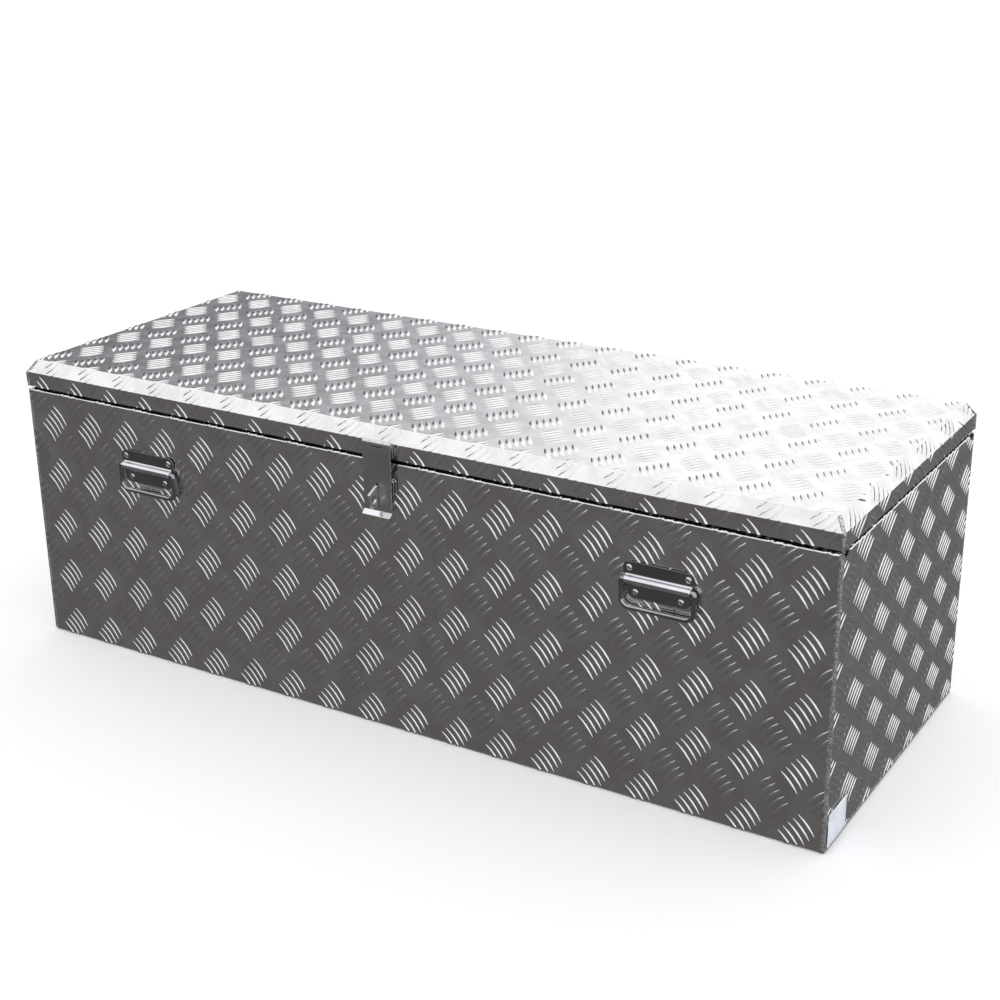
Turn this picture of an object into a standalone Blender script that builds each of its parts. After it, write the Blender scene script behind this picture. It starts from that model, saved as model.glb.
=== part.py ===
"""Truck tool box in aluminium tread plate: the design model.

Metres, +Z up. The origin is the centre of the underside. +X runs along the box
to its right end, and the front, with the hasp and the two handles, faces -Y.
The sheets are drawn to the tops of their tread, so what is fixed to them sits
on their outer faces. CLEAR is the gap left between pieces that touch.
"""
import math

import bmesh
import bpy
from mathutils import Matrix, Vector

# Driving dimensions of the box
WIDTH = 1.000
DEPTH = 0.386
BODY_HEIGHT = 0.3095
PLATE = 0.003
BEND_RADIUS = 0.002
CLEAR = 0.0003
HALF_W = WIDTH / 2
HALF_D = DEPTH / 2

# Rim: a flange turned in from each wall, then an upstand that carries the seal
UPSTAND_INSET = 0.014
UPSTAND_HEIGHT = 0.0204
SEAL_RADIUS = 0.005
SEAL_CORNER = 0.012

# Lid: a skirt flush with the walls, a chamfer all round and a flat top
LID_GAP = 0.003
SKIRT_HEIGHT = 0.017
CHAMFER_RISE = 0.014
CHAMFER_INSET = 0.010
LID_BOTTOM = BODY_HEIGHT + LID_GAP
LID_TOP = LID_BOTTOM + SKIRT_HEIGHT + CHAMFER_RISE

# Piano hinge along the rear rim
HINGE_LENGTH = 0.94
HINGE_KNUCKLES = 24
HINGE_SHEET = 0.0015
HINGE_RADIUS = 0.003
HINGE_PIN_RADIUS = 0.0012
HINGE_Y = HALF_D + CLEAR + HINGE_RADIUS
HINGE_Z = BODY_HEIGHT + LID_GAP / 2
BODY_LEAF_DROP = 0.020
LID_LEAF_RISE = 0.0165
HINGE_RIVETS = 6
HINGE_RIVET_SPAN = 0.80

# Lid stays: the stud on the wall and the pin on the lid lie at one radius from
# the hinge, so the arm between them turns by half of the lid's angle
STAY_RADIUS = 0.120
STAY_STUD_ANGLE = math.radians(35.0)
STAY_PIN_ANGLE = math.radians(-4.8)
LID_OPENING = math.radians(85.0)
STAY_X = 0.4765
STAY_SHEET = 0.002
STAY_HALF_WIDTH = 0.007
STAY_STUD_RADIUS = 0.003
STAY_SLOT_HALF = 0.0035
STAY_END_SPARE = 0.012

# Hasp at the middle of the front
HASP_SHEET = 0.0018
HASP_RADIUS = 0.0032
HASP_PIN_RADIUS = 0.0011
HASP_WIDTH = 0.0345
HASP_LEAF_WIDTH = 0.034
HASP_MIDDLE_KNUCKLE = 0.008
HASP_Y = -(HALF_D + CLEAR + HASP_RADIUS)
HASP_Z = BODY_HEIGHT + 0.0195
STRAP_BOTTOM = BODY_HEIGHT - 0.054
STRAP_LIP = 0.006
EYE_Z = BODY_HEIGHT - 0.036
EYE_THICKNESS = 0.003
EYE_REACH = 0.0155
EYE_HOLE = 0.0045

# Chest handles on the front
HANDLE_X = 0.320
HANDLE_PLATE = 0.002
HANDLE_TOP = BODY_HEIGHT - 0.0496
HANDLE_BOTTOM = BODY_HEIGHT - 0.0870
BARREL_Z = BODY_HEIGHT - 0.0678
BARREL_HALF = 0.035
BARREL_RADIUS = 0.0041
BARREL_BORE = 0.0031
BARREL_Y = -(HALF_D + 0.0045)
BAIL_RADIUS = 0.0028
BAIL_HALF = 0.0386
BAIL_BOTTOM = BODY_HEIGHT - 0.0964

# Rivets: shank, holes and heads
SHANK = 0.0016
HOLE = 0.0020
HEAD_LARGE = 0.00335
HEAD_SMALL = 0.0028

# Blank label at the front bottom corner of the right end
LABEL_Y = (-0.188, -0.141)
LABEL_Z = (0.005, 0.041)
LABEL_THICKNESS = 0.0003

COLLECTION = "truck_tool_box"


# ---------------------------------------------------------------- scene set-up
def clear_scene():
    for item in list(bpy.data.objects):
        bpy.data.objects.remove(item, do_unlink=True)


def new_collection(name):
    collection = bpy.data.collections.new(name)
    bpy.context.scene.collection.children.link(collection)
    return collection


clear_scene()
PARTS = new_collection(COLLECTION)
CUTTERS = new_collection("cutters")


def material(name, colour, metallic, roughness):
    result = bpy.data.materials.new(name)
    result.use_nodes = True
    shader = result.node_tree.nodes["Principled BSDF"]
    shader.inputs["Base Color"].default_value = (*colour, 1.0)
    shader.inputs["Metallic"].default_value = metallic
    shader.inputs["Roughness"].default_value = roughness
    result.diffuse_color = (*colour, 1.0)
    return result


TREAD = ("tread_plate", (0.62, 0.62, 0.63), 1.0, 0.32)
WELD = ("weld", (0.45, 0.45, 0.45), 1.0, 0.5)
STEEL = ("satin_steel", (0.38, 0.38, 0.39), 1.0, 0.35)
POLISHED = ("polished_steel", (0.50, 0.50, 0.52), 1.0, 0.12)
RIVET = ("rivet", (0.55, 0.55, 0.56), 1.0, 0.3)
RUBBER = ("rubber", (0.02, 0.02, 0.02), 0.0, 0.7)
PAPER = ("label", (0.85, 0.85, 0.83), 0.0, 0.5)


def adopt(item, name, finish, collection=None):
    """Name an object, put it in its collection and give it its own material."""
    item.name = name
    for other in list(item.users_collection):
        other.objects.unlink(item)
    (collection or PARTS).objects.link(item)
    if finish:
        item.data.materials.clear()
        item.data.materials.append(material(f"{name}_{finish[0]}", *finish[1:]))
    return item


def from_bmesh(bm, name, finish, collection=None, origin=(0, 0, 0)):
    """A mesh object whose origin is moved to the given point."""
    bmesh.ops.translate(bm, verts=bm.verts, vec=-Vector(origin))
    mesh = bpy.data.meshes.new(name)
    bm.to_mesh(mesh)
    bm.free()
    item = bpy.data.objects.new(name, mesh)
    item.location = origin
    return adopt(item, name, finish, collection)


def smooth(item, angle=35.0):
    item.data.shade_smooth()
    item.data.set_sharp_from_angle(angle=math.radians(angle))
    return item


# ------------------------------------------------------------- shape functions
def rounded(points, radius, steps, closed=False):
    """A polyline with each corner replaced by an arc; radius may be one per corner."""
    count = len(points)
    radii = radius if isinstance(radius, (list, tuple)) else [radius] * count
    result = []
    for index, point in enumerate(points):
        here = Vector(point)
        if not closed and index in (0, count - 1) or radii[index] == 0:
            result.append(here)
            continue
        before = (Vector(points[index - 1]) - here).normalized()
        after = (Vector(points[(index + 1) % count]) - here).normalized()
        half = before.angle(after) / 2
        reach = radii[index] / math.tan(half)
        centre = here + (before + after).normalized() * radii[index] / math.sin(half)
        start = here + before * reach - centre
        end = here + after * reach - centre
        turn = math.atan2(start.x * end.y - start.y * end.x, start.dot(end))
        for step in range(steps + 1):
            result.append(centre + Matrix.Rotation(turn * step / steps, 2) @ start)
    return result


def arc(centre, radius, start, end, steps):
    """Points round a centre, from one angle in degrees to another."""
    result = []
    for step in range(steps + 1):
        angle = math.radians(start + (end - start) * step / steps)
        result.append(Vector((centre[0] + radius * math.cos(angle), centre[1] + radius * math.sin(angle))))
    return result


def strip(name, profile, start, end, thickness, finish, across="X", origin=(0, 0, 0)):
    """A bent sheet: its middle surface is swept along X or Y and solidified both ways."""
    bm = bmesh.new()
    verts = []
    for first, second in profile:
        place = (start, first, second) if across == "X" else (first, start, second)
        verts.append(bm.verts.new(place))
    edges = [bm.edges.new(pair) for pair in zip(verts, verts[1:])]
    grown = bmesh.ops.extrude_edge_only(bm, edges=edges)["geom"]
    shift = Vector((end - start, 0, 0)) if across == "X" else Vector((0, end - start, 0))
    bmesh.ops.translate(bm, verts=[v for v in grown if isinstance(v, bmesh.types.BMVert)], vec=shift)
    bmesh.ops.recalc_face_normals(bm, faces=bm.faces)
    item = from_bmesh(bm, name, finish, origin=origin)
    solid = item.modifiers.new("thickness", "SOLIDIFY")
    solid.thickness = thickness
    solid.offset = 0.0
    solid.use_even_offset = True
    return smooth(item)


def outline(name, points, plane, level, thickness, finish, collection=None, origin=(0, 0, 0)):
    """A flat plate: a filled curve extruded half its thickness each way, made a mesh."""
    curve = bpy.data.curves.new(name, "CURVE")
    curve.dimensions = "2D"
    curve.fill_mode = "BOTH"
    curve.extrude = thickness / 2
    spline = curve.splines.new("POLY")
    spline.points.add(len(points) - 1)
    for point, (first, second) in zip(spline.points, points):
        point.co = (first, second, 0, 1)
    spline.use_cyclic_u = True
    item = bpy.data.objects.new(name, curve)
    if plane == "XZ":
        item.matrix_world = Matrix.Translation((0, level, 0)) @ Matrix.Rotation(math.pi / 2, 4, "X")
    else:
        # The curve's x and y become world Y and Z
        turn = Matrix(((0, 0, 1, 0), (1, 0, 0, 0), (0, 1, 0, 0), (0, 0, 0, 1)))
        item.matrix_world = Matrix.Translation((level, 0, 0)) @ turn
    return to_mesh(item, name, finish, collection, origin)


def to_mesh(item, name, finish, collection=None, origin=(0, 0, 0)):
    """Turn a curve object into a welded mesh in world space, and drop the curve."""
    bpy.context.scene.collection.objects.link(item)
    bpy.context.view_layer.update()
    evaluated = item.evaluated_get(bpy.context.evaluated_depsgraph_get())
    mesh = bpy.data.meshes.new_from_object(evaluated)
    bm = bmesh.new()
    bm.from_mesh(mesh)
    bmesh.ops.transform(bm, matrix=item.matrix_world, verts=bm.verts)
    bmesh.ops.remove_doubles(bm, verts=bm.verts, dist=0.000005)
    bmesh.ops.recalc_face_normals(bm, faces=bm.faces)
    bpy.data.meshes.remove(mesh)
    bpy.data.objects.remove(item, do_unlink=True)
    return from_bmesh(bm, name, finish, collection, origin)


def tube(name, points, radius, finish, closed=False, resolution=2, origin=(0, 0, 0)):
    """A round rod along a polyline."""
    curve = bpy.data.curves.new(name, "CURVE")
    curve.dimensions = "3D"
    curve.bevel_depth = radius
    curve.bevel_resolution = resolution
    curve.use_fill_caps = not closed
    spline = curve.splines.new("POLY")
    spline.points.add(len(points) - 1)
    for point, place in zip(spline.points, points):
        point.co = (*place, 1)
    spline.use_cyclic_u = closed
    return smooth(to_mesh(bpy.data.objects.new(name, curve), name, finish, origin=origin), 50)


AXIS_TURNS = {
    "X": Matrix.Rotation(math.pi / 2, 4, "Y"),
    "Y": Matrix.Rotation(-math.pi / 2, 4, "X"),
    "-Y": Matrix.Rotation(math.pi / 2, 4, "X"),
    "-X": Matrix.Rotation(-math.pi / 2, 4, "Y"),
}


def cylinder(name, centre, axis, radius, length, finish, segments=20, collection=None, origin=(0, 0, 0)):
    bm = bmesh.new()
    bmesh.ops.create_cone(
        bm, cap_ends=True, segments=segments, radius1=radius, radius2=radius, depth=length
    )
    bmesh.ops.transform(bm, matrix=Matrix.Translation(centre) @ AXIS_TURNS[axis], verts=bm.verts)
    return smooth(from_bmesh(bm, name, finish, collection, origin))


def box(bm, low, high):
    """Add a box between two corners to a bmesh."""
    centre = (Vector(low) + Vector(high)) / 2
    size = Vector(high) - Vector(low)
    matrix = Matrix.Translation(centre) @ Matrix.Diagonal((*size, 1))
    return bmesh.ops.create_cube(bm, size=1.0, matrix=matrix)["verts"]


def turned(name, profile, place, axis, finish, segments=12):
    """A turned piece: (radius, height) pairs from its outer end down, spun about its axis."""
    bm = bmesh.new()
    verts = [bm.verts.new((radius, 0, height)) for radius, height in profile]
    for pair in zip(verts, verts[1:]):
        bm.edges.new(pair)
    item = from_bmesh(bm, name, finish)
    item.matrix_world = Matrix.Translation(place) @ AXIS_TURNS[axis]
    screw = item.modifiers.new("turn", "SCREW")
    screw.steps = segments
    screw.render_steps = segments
    screw.use_merge_vertices = True
    screw.merge_threshold = 0.00001
    screw.use_smooth_shade = True
    return item


def cutter(name, boxes=(), cylinders=()):
    """One cutting object made of separate boxes and (centre, axis, radius, length) cylinders."""
    bm = bmesh.new()
    for low, high in boxes:
        box(bm, low, high)
    for centre, axis, radius, length in cylinders:
        matrix = Matrix.Translation(centre) @ AXIS_TURNS[axis]
        bmesh.ops.create_cone(
            bm, cap_ends=True, segments=16, radius1=radius, radius2=radius, depth=length, matrix=matrix
        )
    item = from_bmesh(bm, name, None, CUTTERS)
    item.hide_render = True
    item.display_type = "WIRE"
    return item


def combine(item, other, operation):
    change = item.modifiers.new(operation.lower(), "BOOLEAN")
    change.operation = operation
    change.solver = "EXACT"
    change.object = other
    return item


def helper(item):
    """Keep an object only as the second half of a Boolean."""
    item.hide_render = True
    item.display_type = "WIRE"
    return item


def rivet(name, place, axis, head, grip):
    """A domed rivet; place is the outer face it clamps, grip the thickness under its head."""
    dome = head * 0.45
    profile = [(head * math.sin(a), CLEAR + dome * math.cos(a)) for a in (0, 0.55, 1.05, math.pi / 2)]
    profile += [(SHANK, CLEAR), (SHANK, -grip - CLEAR), (head * 0.85, -grip - CLEAR)]
    profile += [(head * 0.6, -grip - CLEAR - 0.001), (0, -grip - CLEAR - 0.001)]
    return turned(name, profile, place, axis, RIVET)


def rivet_hole(place, axis):
    return (place, axis, HOLE, 0.02)


# ---------------------------------------------------------------- places shared
FRONT_FACE = -HALF_D
REAR_FACE = HALF_D
HANDLE_GRIP = HANDLE_PLATE + CLEAR + PLATE
UPPER_RIVETS = (0.03125, BODY_HEIGHT - 0.0560)
LOWER_RIVETS = (0.02415, BODY_HEIGHT - 0.0805)
HANDLE_SIDES = (("left", -1), ("right", 1))


def handle_rivet_places(side):
    """Rivet centres of one handle, top left, top right, bottom left, bottom right."""
    centre = side * HANDLE_X
    return [(centre + s * dx, z) for dx, z in (UPPER_RIVETS, LOWER_RIVETS) for s in (-1, 1)]


KEEPER_RIVETS = [(-0.012, EYE_Z), (0.012, EYE_Z)]
HASP_LEAF_RIVETS = [(-0.011, BODY_HEIGHT + 0.011), (0.011, BODY_HEIGHT + 0.011)]
HINGE_RIVET_X = [HINGE_RIVET_SPAN * (i / (HINGE_RIVETS - 1) - 0.5) for i in range(HINGE_RIVETS)]
BODY_LEAF_RIVET_Z = HINGE_Z - 0.013
LID_LEAF_RIVET_Z = HINGE_Z + 0.0105


# ------------------------------------------------------------------------ body
def wall_profile(thickness):
    """Middle surface of the folded front, bottom and rear, with flanges and upstands."""
    wall = HALF_D - thickness / 2
    flange = BODY_HEIGHT - PLATE / 2
    stand = HALF_D - UPSTAND_INSET - PLATE / 2
    top = BODY_HEIGHT + UPSTAND_HEIGHT
    half = [(stand, top), (stand, flange), (wall, flange), (wall, thickness / 2)]
    points = [(-y, z) for y, z in half] + half[::-1]
    return rounded(points, BEND_RADIUS, 4)


def body_wrap():
    end = HALF_W - PLATE - CLEAR
    item = strip("body_wrap", wall_profile(PLATE), -end, end, PLATE, TREAD)
    stand_end = HALF_W - UPSTAND_INSET
    notches = []
    for side in (-1, 1):
        for face in (-1, 1):
            xs = sorted((side * stand_end, side * HALF_W))
            ys = sorted((face * (HALF_D - 0.012), face * (HALF_D - 0.020)))
            low = (xs[0], ys[0], BODY_HEIGHT + 0.0001)
            notches.append((low, (xs[1], ys[1], BODY_HEIGHT + 0.03)))
    holes = []
    for _, side in HANDLE_SIDES:
        holes += [rivet_hole((x, FRONT_FACE, z), "Y") for x, z in handle_rivet_places(side)]
    holes += [rivet_hole((x, FRONT_FACE, z), "Y") for x, z in KEEPER_RIVETS]
    holes += [rivet_hole((x, REAR_FACE, BODY_LEAF_RIVET_Z), "Y") for x in HINGE_RIVET_X]
    return combine(item, cutter("wrap_cuts", notches, holes), "DIFFERENCE")


def end_panel(name, side):
    wall = side * (HALF_W - PLATE / 2)
    stand = side * (HALF_W - UPSTAND_INSET - PLATE / 2)
    flange = BODY_HEIGHT - PLATE / 2
    top = BODY_HEIGHT + UPSTAND_HEIGHT
    points = [(stand, top), (stand, flange), (wall, flange), (wall, PLATE + CLEAR)]
    reach = HALF_D - PLATE - CLEAR
    item = strip(name, rounded(points, BEND_RADIUS, 4), -reach, reach, PLATE, TREAD, across="Y")
    flange_end = HALF_D - UPSTAND_INSET - PLATE - CLEAR
    corners = []
    for face in (-1, 1):
        xs = sorted((side * (HALF_W - PLATE), side * (HALF_W - 0.03)))
        ys = sorted((face * flange_end, face * HALF_D))
        corners.append(((xs[0], ys[0], BODY_HEIGHT - 0.01), (xs[1], ys[1], BODY_HEIGHT + 0.03)))
    return combine(item, cutter(f"{name}_corner_cuts", corners), "DIFFERENCE")


def end_weld(name, side):
    """The bead that fills the open corner between the wrap and an end panel."""
    bead = PLATE - 0.0005
    wall = HALF_D - 0.0002 - bead / 2
    low = 0.0002 + bead / 2
    top = BODY_HEIGHT - 0.004
    points = rounded([(-wall, top), (-wall, low), (wall, low), (wall, top)], BEND_RADIUS, 4)
    xs = sorted((side * (HALF_W - PLATE), side * (HALF_W - 0.0002)))
    return strip(name, points, xs[0], xs[1], bead, WELD)


def rim_seal():
    half_x = HALF_W - UPSTAND_INSET - PLATE / 2
    half_y = HALF_D - UPSTAND_INSET - PLATE / 2
    level = BODY_HEIGHT + UPSTAND_HEIGHT + CLEAR + SEAL_RADIUS
    corners = [(-half_x, -half_y), (half_x, -half_y), (half_x, half_y), (-half_x, half_y)]
    path = rounded(corners, SEAL_CORNER, 5, closed=True)
    return tube("rim_seal", [(x, y, level) for x, y in path], SEAL_RADIUS, RUBBER, closed=True)


def label():
    bm = bmesh.new()
    face = HALF_W + CLEAR
    box(bm, (face, LABEL_Y[0], LABEL_Z[0]), (face + LABEL_THICKNESS, LABEL_Y[1], LABEL_Z[1]))
    return from_bmesh(bm, "label", PAPER)


# ----------------------------------------------------------------- piano hinge
def hinge_leaf(name, plate_end, sweep, first_knuckle, owner):
    """A leaf: flat plate on the rear face, curled round the pin, every second knuckle cut away."""
    plate_y = HALF_D + CLEAR + HINGE_SHEET / 2
    middle = HINGE_RADIUS - HINGE_SHEET / 2
    profile = [(plate_y, plate_end)] + arc((HINGE_Y, HINGE_Z), middle, 180, 180 + sweep, 12)
    half = HINGE_LENGTH / 2
    item = strip(name, profile, -half, half, HINGE_SHEET, TREAD, origin=owner)
    pitch = HINGE_LENGTH / HINGE_KNUCKLES
    toward_plate = 1 if plate_end > HINGE_Z else -1
    near = HINGE_Z + toward_plate * (HINGE_RADIUS + 0.0006)
    far = HINGE_Z - toward_plate * (HINGE_RADIUS + 0.002)
    gaps = []
    for index in range(first_knuckle, HINGE_KNUCKLES, 2):
        start = -half + index * pitch
        low = (start - CLEAR / 2, HALF_D, min(near, far))
        gaps.append((low, (start + pitch + CLEAR / 2, HALF_D + 0.01, max(near, far))))
    rivet_z = LID_LEAF_RIVET_Z if toward_plate > 0 else BODY_LEAF_RIVET_Z
    holes = [rivet_hole((x, REAR_FACE, rivet_z), "Y") for x in HINGE_RIVET_X]
    return combine(item, cutter(f"{name}_cuts", gaps, holes), "DIFFERENCE")


def hinge_rivets(group, z, grip):
    """The rivets of one leaf, along the rear face."""
    result = []
    face = REAR_FACE + CLEAR + HINGE_SHEET
    for index, x in enumerate(HINGE_RIVET_X, 1):
        result.append(rivet(f"hinge_rivet_{group}_{index}", (x, face, z), "Y", HEAD_SMALL, grip))
    return result


# ------------------------------------------------------------------------- lid
def lid_shell():
    """Skirt, chamfers and top as one shell; the chamfer is cut on a box squashed in Z."""
    squash = CHAMFER_INSET / CHAMFER_RISE
    height = (SKIRT_HEIGHT + CHAMFER_RISE) * squash
    bm = bmesh.new()
    box(bm, (-HALF_W, -HALF_D, 0), (HALF_W, HALF_D, height))
    top = [e for e in bm.edges if all(v.co.z > height / 2 for v in e.verts)]
    bmesh.ops.bevel(bm, geom=top, offset=CHAMFER_INSET, segments=1, affect="EDGES")
    floor = [f for f in bm.faces if f.normal.z < -0.9]
    bmesh.ops.delete(bm, geom=floor, context="FACES")
    bmesh.ops.scale(bm, verts=bm.verts, vec=(1, 1, 1 / squash))
    bmesh.ops.translate(bm, verts=bm.verts, vec=(0, 0, LID_BOTTOM))
    bmesh.ops.recalc_face_normals(bm, faces=bm.faces)
    item = from_bmesh(bm, "lid_shell", TREAD, origin=(0, HINGE_Y, HINGE_Z))
    solid = item.modifiers.new("thickness", "SOLIDIFY")
    solid.thickness = PLATE
    solid.offset = -1.0
    solid.use_even_offset = True
    holes = [rivet_hole((x, FRONT_FACE, z), "Y") for x, z in HASP_LEAF_RIVETS]
    holes += [rivet_hole((x, REAR_FACE, LID_LEAF_RIVET_Z), "Y") for x in HINGE_RIVET_X]
    return combine(item, cutter("lid_cuts", cylinders=holes), "DIFFERENCE")


# ------------------------------------------------------------------- lid stays
def stay_point(angle):
    """A point at the stays' radius in front of the hinge, angle below the level."""
    return (HINGE_Y - STAY_RADIUS * math.cos(angle), HINGE_Z - STAY_RADIUS * math.sin(angle))


STUD = stay_point(STAY_STUD_ANGLE)
PIN = stay_point(STAY_PIN_ANGLE)
STAY_START = STAY_STUD_ANGLE - STAY_PIN_ANGLE
SLOT_NEAR = 2 * STAY_RADIUS * math.sin(STAY_START / 2)
SLOT_FAR = 2 * STAY_RADIUS * math.sin((STAY_START + LID_OPENING) / 2)


def capsule(start, end, radius, steps=8):
    """Outline of a bar with round ends between two points."""
    along = (Vector(end) - Vector(start)).normalized()
    heading = math.degrees(math.atan2(along.y, along.x))
    return arc(end, radius, heading - 90, heading + 90, steps) + arc(
        start, radius, heading + 90, heading + 270, steps
    )


def stay_arm(name, side):
    along = (Vector(STUD) - Vector(PIN)).normalized()
    tip = Vector(PIN) + along * (SLOT_FAR + STAY_END_SPARE)
    owner = (side * STAY_X, *PIN)
    item = outline(name, capsule(PIN, tip, STAY_HALF_WIDTH), "YZ", side * STAY_X, STAY_SHEET, STEEL, origin=owner)
    near = Vector(PIN) + along * (SLOT_NEAR - 0.0005)
    far = Vector(PIN) + along * (SLOT_FAR + 0.0005)
    slot_shape = capsule(near, far, STAY_SLOT_HALF)
    slot = helper(outline(f"{name}_slot", slot_shape, "YZ", side * STAY_X, 0.01, None, CUTTERS))
    hole = cutter(f"{name}_hole", cylinders=[((side * STAY_X, *PIN), "X", 0.0033, 0.01)])
    combine(item, slot, "DIFFERENCE")
    return combine(item, hole, "DIFFERENCE")


def stay_stud(name, side):
    """Shouldered stud welded to the inside of the end wall, with a collar and a head round the arm."""
    wall = HALF_W - PLATE - CLEAR
    arm_out = STAY_X + STAY_SHEET / 2
    arm_in = STAY_X - STAY_SHEET / 2
    depths = [arm_in - 0.0020, arm_in - 0.0005, arm_out + 0.0005, arm_out + 0.0015, wall - 0.002, wall]
    radii = [0.0055, STAY_STUD_RADIUS, 0.0055, STAY_STUD_RADIUS, 0.009]
    profile = [(0, wall - depths[0])]
    for index, radius in enumerate(radii):
        profile.append((radius, wall - depths[index]))
        profile.append((radius, wall - depths[index + 1]))
    profile.append((0, 0))
    return turned(name, profile, (side * wall, *STUD), "-X" if side > 0 else "X", STEEL, segments=16)


def lid_bracket(name, side):
    """An angle under the lid whose hanging tab carries the stay's pin."""
    tab = side * (STAY_X - STAY_SHEET / 2 - 0.0005 - 0.001)
    under = LID_TOP - PLATE - CLEAR - 0.001
    foot = tab - side * 0.020
    points = rounded([(foot, under), (tab, under), (tab, PIN[1] - 0.009)], 0.002, 3)
    item = strip(name, points, PIN[0] - 0.015, PIN[0] + 0.015, 0.002, STEEL, across="Y")
    hole = cutter(f"{name}_hole", cylinders=[((tab, *PIN), "X", 0.0033, 0.01)])
    return combine(item, hole, "DIFFERENCE")


def stay_pin(name, side):
    """Rivet pin through the bracket's tab and the arm, headed at both ends."""
    outer = STAY_X + STAY_SHEET / 2 + 0.0015
    tab_in = STAY_X - STAY_SHEET / 2 - 0.0005 - 0.002
    inner = tab_in - 0.0018
    span = outer - inner
    inner_head = tab_in - CLEAR - inner
    outer_head = outer - (STAY_X + STAY_SHEET / 2 + CLEAR)
    radius = STAY_STUD_RADIUS
    profile = [(0, span), (0.005, span), (0.005, span - inner_head), (radius, span - inner_head)]
    profile += [(radius, outer_head), (0.005, outer_head), (0.005, 0), (0, 0)]
    return turned(name, profile, (side * outer, *PIN), "-X" if side > 0 else "X", STEEL, segments=16)


# ------------------------------------------------------------------------ hasp
HASP_OWNER = (0, HASP_Y, HASP_Z)


def hasp_lid_leaf():
    """Leaf on the lid's skirt, curled over the pin at its middle only."""
    plate_y = FRONT_FACE - CLEAR - HASP_SHEET / 2
    middle = HASP_RADIUS - HASP_SHEET / 2
    profile = [(plate_y, LID_BOTTOM + 0.0015)] + arc((HASP_Y, HASP_Z), middle, 0, 285, 12)
    half = HASP_LEAF_WIDTH / 2
    item = strip("hasp_lid_leaf", profile, -half, half, HASP_SHEET, STEEL)
    gaps = []
    for side in (-1, 1):
        xs = sorted((side * HASP_MIDDLE_KNUCKLE, side * 0.02))
        low = (xs[0], FRONT_FACE - 0.01, HASP_Z - HASP_RADIUS - 0.0006)
        gaps.append((low, (xs[1], FRONT_FACE, HASP_Z + 0.006)))
    holes = [rivet_hole((x, FRONT_FACE, z), "Y") for x, z in HASP_LEAF_RIVETS]
    return combine(item, cutter("hasp_leaf_cuts", gaps, holes), "DIFFERENCE")


def hasp_strap():
    """Strap hanging from the pin over the gap, slotted for the eye, its end bent out as a lip."""
    middle = HASP_RADIUS - HASP_SHEET / 2
    plate_y = HASP_Y - middle
    curl = arc((HASP_Y, HASP_Z), middle, -105, 180, 12)
    tail = rounded([curl[-1], (plate_y, STRAP_BOTTOM), (plate_y - STRAP_LIP, STRAP_BOTTOM - STRAP_LIP)], 0.003, 4)
    half = HASP_WIDTH / 2
    item = strip("hasp_strap", curl + tail[1:], -half, half, HASP_SHEET, STEEL, origin=HASP_OWNER)
    reach = HASP_MIDDLE_KNUCKLE + CLEAR
    low = (-reach, HASP_Y - 0.01, HASP_Z - HASP_RADIUS - 0.0006)
    gap = (low, (reach, FRONT_FACE, HASP_Z + 0.006))
    combine(item, cutter("strap_knuckle_cut", [gap]), "DIFFERENCE")
    slot_shape = capsule((0, EYE_Z - 0.0112), (0, EYE_Z + 0.0112), 0.0018)
    slot = helper(outline("strap_slot", slot_shape, "XZ", plate_y, 0.008, None, CUTTERS))
    return combine(item, slot, "DIFFERENCE")


def lock_eye():
    """Eye plate for a padlock, standing on a neck through the strap's slot, with a round toe behind."""
    base = HASP_Y - HASP_RADIUS - CLEAR
    tip = base - EYE_REACH
    points = [(base, -0.012), (tip, -0.0085), (tip, 0.0085), (base, 0.012)]
    shape = rounded(points, [0.0012, 0.004, 0.004, 0.0012], 5, closed=True)
    shape = [(y, z + EYE_Z) for y, z in shape]
    owner = (0, base, EYE_Z)
    item = outline("lock_eye", shape, "YZ", 0, EYE_THICKNESS, STEEL, origin=owner)
    strap_in = HASP_Y - HASP_RADIUS + HASP_SHEET
    toe_y = strap_in + CLEAR
    neck_length = toe_y + 0.0005 - (base - 0.0005)
    neck_y = base - 0.0005 + neck_length / 2
    neck = helper(cylinder("eye_neck", (0, neck_y, EYE_Z), "Y", 0.0015, neck_length, None, 16, CUTTERS))
    toe = helper(cylinder("eye_toe", (0, toe_y + 0.00075, EYE_Z), "Y", 0.005, 0.0015, None, 20, CUTTERS))
    combine(item, neck, "UNION")
    combine(item, toe, "UNION")
    hole_y = base - 0.0082
    hole = cutter("eye_hole", cylinders=[((0, hole_y, EYE_Z), "X", EYE_HOLE, 0.01)])
    return combine(item, hole, "DIFFERENCE")


def keeper_plate():
    """Backing plate on the body behind the strap's slot."""
    corners = [(-0.017, EYE_Z - 0.017), (0.017, EYE_Z - 0.017), (0.017, EYE_Z + 0.017), (-0.017, EYE_Z + 0.017)]
    level = FRONT_FACE - CLEAR - HASP_SHEET / 2
    shape = rounded(corners, 0.003, 4, closed=True)
    item = outline("hasp_keeper_plate", shape, "XZ", level, HASP_SHEET, STEEL)
    holes = [rivet_hole((x, FRONT_FACE, z), "Y") for x, z in KEEPER_RIVETS]
    return combine(item, cutter("keeper_cuts", cylinders=holes), "DIFFERENCE")


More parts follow.
